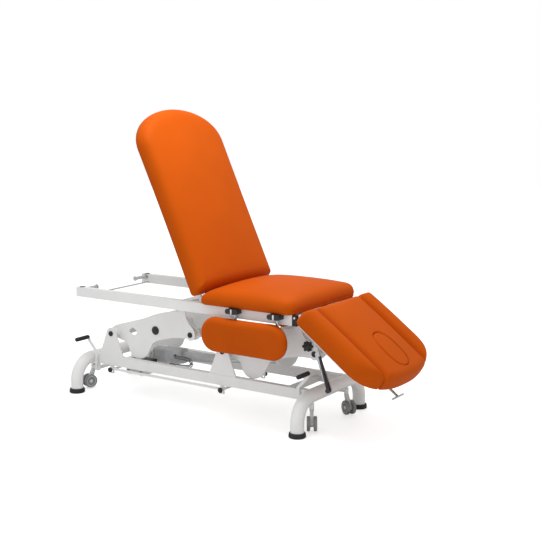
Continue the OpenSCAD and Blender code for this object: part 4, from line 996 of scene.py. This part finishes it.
# Screws of the leg section's hinge blocks, and of the armrest clamps
screws("hinge_block_screws",
       [((674.5, s * 280, TOP_LOW + 10), (0, s, 0)) for s in (-1, 1)],
       4.2, 2.2, "upper_frame", "black_steel")
screws("clamp_screws",
       [((x + dx, s * 303, KNOB_Z), (0, s, 0)) for x in KNOB_X for s in (-1, 1)
        for dx in (-23, 23)], 3.2, 1.6, "upper_frame")

# White pill on each clamp knob, standing in for a painted highlight, and the centre of the star
# knob
for node_name, x, s in (("near_left", KNOB_X[0], -1), ("near_right", KNOB_X[1], -1),
                        ("far_left", KNOB_X[0], 1), ("far_right", KNOB_X[1], 1)):
    cap = rounded_plug(24, 9, 1.6, 4.4)
    piece(node_name + "_knob_highlight", *placed(cap, (x, s * 325.9, KNOB_Z), (0, s, 0)),
          node_name + "_clamp_knob", "black_plastic", PAINTED_HIGHLIGHT)
star = (HANGER_X[1] - 30, HANGER_Z + 36)
piece("star_knob_highlight", *placed(revolve([(11, 0), (11, 1.0), (9.6, 2.0), (6, 2.4)], 32),
                               (star[0], -206.9, star[1]), (0, -1, 0)),
      "star", "black_plastic")

# Black caps on the cross rods of the foot bar
rod_caps = [placed(revolve([(13.4, 0), (13.8, 0.8), (13.8, 5.4), (12.6, 7), (8, 7.6)], 32),
                   (x, s * 197, 124), (0, s, 0)) for x in (-547, 187) for s in (-1, 1)]
piece("foot_bar_caps", *joined(rod_caps), "foot_control", "black_plastic")

# Weld beads of the base and of the upper frame
beads = []
for s in (-1, 1):
    for x in LIFT_X:
        for y in (177, 185):
            beads.append(bead((x - 82, s * y, 198.4), (x + 82, s * y, 198.4), 1.7))
    for x in (31 - FOOT_X, FOOT_X - 31):
        beads.append(bead((x, s * 156, 199), (x, s * 184, 199), 1.8))
piece("base_welds", *joined(beads), "base", "white_coat")
beads = []
for s in (-1, 1):
    for tube in (HANGER_X[0] - 79, HANGER_X[1] - 121):
        y, z = s * 249.6, TOP_LOW + 26
        beads.append(bead((tube + 2, y, z), (tube + 48, y, z), 1.7))
        for x in (tube, tube + 50):
            z = TOP_LOW - 0.4
            beads.append(bead((x, s * 176.6, z), (x, s * 185.4, z), 1.5))
piece("upper_frame_welds", *joined(beads), "upper_frame", "white_coat")

# Plugs in the open ends of the backrest's tubes
BACK_TUBE_Y, BACK_TUBE_X, BACK_TUBE_L = 242 - 0.5 - 12.5, -42, 740
plugs = []
for s in (-1, 1):
    y = s * BACK_TUBE_Y
    for x, d in ((BACK_TUBE_X - BACK_TUBE_L, -1), (BACK_TUBE_X, 1)):
        p = placed(rounded_plug(24, 19, 2.0, 2.2), (0, 0, 0), (1, 0, 0))
        pts = p[0] * (d, 1, 1)
        plugs.append((at_back(pts + (x, y, BACK_UNDER - 10)), p[1]))
piece("backrest_tube_plugs", *joined(plugs), "backrest", "black_plastic")

# Bands round the lift motor, its cable gland, and the box's sockets and screws
MOTOR_X, MOTOR_Z = -415, 195
LEVER_EYE = (LIFT_X[1] + 50, PIVOT_Z - 85)
MOTOR_TILT = math.atan2(LEVER_EYE[1] - MOTOR_Z, LEVER_EYE[0] - MOTOR_X)


def at_motor(p):
    return turned_y(p, -MOTOR_TILT) + (MOTOR_X, 0, MOTOR_Z)


def band(x, w, h, r, t):
    """A raised band round a rounded box section."""
    n = 8
    rows = ((0, 0), (0.6, 0.9), (t - 0.6, 0.9), (t, 0))
    pts = []
    for dx, e in rows:
        for cx, cy, a0 in ((1, 1, 0), (-1, 1, 90), (-1, -1, 180), (1, -1, 270)):
            for k in range(n):
                a = math.radians(a0 + 90 * k / (n - 1))
                pts.append((x + dx, cx * (w / 2 - r) + (r + e) * cx * abs(math.cos(a)),
                            cy * (h / 2 - r) + (r + e) * cy * abs(math.sin(a))))
    return np.array(pts), ring_faces(len(rows), 4 * n)


bands, band_faces = joined([band(x, 64, 78, 14, 5) for x in (52, 180)])
piece("motor_bands", at_motor(bands), band_faces, "lift_actuator", "grey_housing")
gland = revolve([(7, 0), (7, 5), (5.4, 6), (5.0, 13), (3.2, 18), (2.0, 20)], 24)
piece("motor_gland", *placed(gland, (-230, -31.5, 212), (0, -1, 0)), "lift_actuator",
      "black_plastic")
sockets = [placed(rounded_plug(17, 13, 2.2, 2.5), (-344.5, y, 165), (1, 0, 0))
           for y in (-104, -85)]
sockets.append(placed(revolve([(5.2, 0), (5.2, 4), (3.4, 9), (2.0, 12)], 24),
                      (-344.6, -66, 168), (1, 0, 0)))
piece("box_sockets", *joined(sockets), "base", "black_plastic")
screws("box_screws", [((-407 + a * 52, -85 + b * 28, 184), (0, 0, 1))
                      for a in (-1, 1) for b in (-1, 1)], 3.4, 1.4, "base")


# Floor, world, lights. The camera sees the floor and the world a little brighter than
# they light the table.
FLOOR_R, FLOOR_GLOW, WORLD_LIGHT = 14.0, 0.56, 0.74
LAMPS = (("key", (0.15, -0.35, 2.75), (-0.05, 0, 0.7), 1.1, 34),
         ("front", (-0.4, -4.4, 2.6), (-0.1, 0, 0.5), 3.0, 78))


def make_floor():
    """A round white floor that glows only to the camera."""
    mesh = bpy.data.meshes.new("floor")
    n = 64
    pts = [(FLOOR_R * math.cos(2 * math.pi * k / n), FLOOR_R * math.sin(2 * math.pi * k / n),
            -0.0005) for k in range(n)]
    mesh.from_pydata(pts, [], [tuple(range(n))])
    obj = bpy.data.objects.new("floor", mesh)
    bpy.context.scene.collection.objects.link(obj)
    mat = bpy.data.materials.new("floor_white")
    mat.use_nodes = True
    tree = mat.node_tree
    shader = tree.nodes["Principled BSDF"]
    shader.inputs["Base Color"].default_value = (0.82, 0.82, 0.82, 1)
    shader.inputs["Roughness"].default_value = 0.5
    path = tree.nodes.new("ShaderNodeLightPath")
    glow = tree.nodes.new("ShaderNodeEmission")
    glow.inputs["Color"].default_value = (1, 1, 1, 1)
    seen = tree.nodes.new("ShaderNodeMath")
    seen.operation = "MULTIPLY"
    seen.inputs[1].default_value = FLOOR_GLOW
    tree.links.new(path.outputs["Is Camera Ray"], seen.inputs[0])
    tree.links.new(seen.outputs[0], glow.inputs["Strength"])
    both = tree.nodes.new("ShaderNodeAddShader")
    tree.links.new(shader.outputs[0], both.inputs[0])
    tree.links.new(glow.outputs[0], both.inputs[1])
    tree.links.new(both.outputs[0], tree.nodes["Material Output"].inputs["Surface"])
    mesh.materials.append(mat)


def make_world():
    """White surroundings, dimmer as a light than as seen by the camera."""
    world = bpy.data.worlds.new("world")
    bpy.context.scene.world = world
    world.use_nodes = True
    tree = world.node_tree
    back = tree.nodes["Background"]
    back.inputs["Color"].default_value = (1, 1, 1, 1)
    path = tree.nodes.new("ShaderNodeLightPath")
    direct = tree.nodes.new("ShaderNodeMath")
    direct.operation = "MAXIMUM"
    tree.links.new(path.outputs["Is Camera Ray"], direct.inputs[0])
    tree.links.new(path.outputs["Is Transmission Ray"], direct.inputs[1])
    level = tree.nodes.new("ShaderNodeMapRange")
    level.inputs["To Min"].default_value = WORLD_LIGHT
    level.inputs["To Max"].default_value = 1.0
    tree.links.new(direct.outputs[0], level.inputs["Value"])
    tree.links.new(level.outputs["Result"], back.inputs["Strength"])


def lamp(name, at, aim, size, power):
    """A round lamp of this size that looks from at to aim."""
    data = bpy.data.lights.new(name, "AREA")
    data.shape = "DISK"
    data.size = size
    data.energy = power
    obj = bpy.data.objects.new(name, data)
    bpy.context.scene.collection.objects.link(obj)
    obj.location = at
    way = np.array(aim, float) - np.array(at, float)
    way /= np.linalg.norm(way)
    obj.rotation_euler = (math.acos(-way[2]), 0, math.atan2(way[0], -way[1]))


make_floor()
make_world()
for setting in LAMPS:
    lamp(*setting)
bpy.context.scene.view_settings.view_transform = "Standard"

bpy.context.view_layer.update()
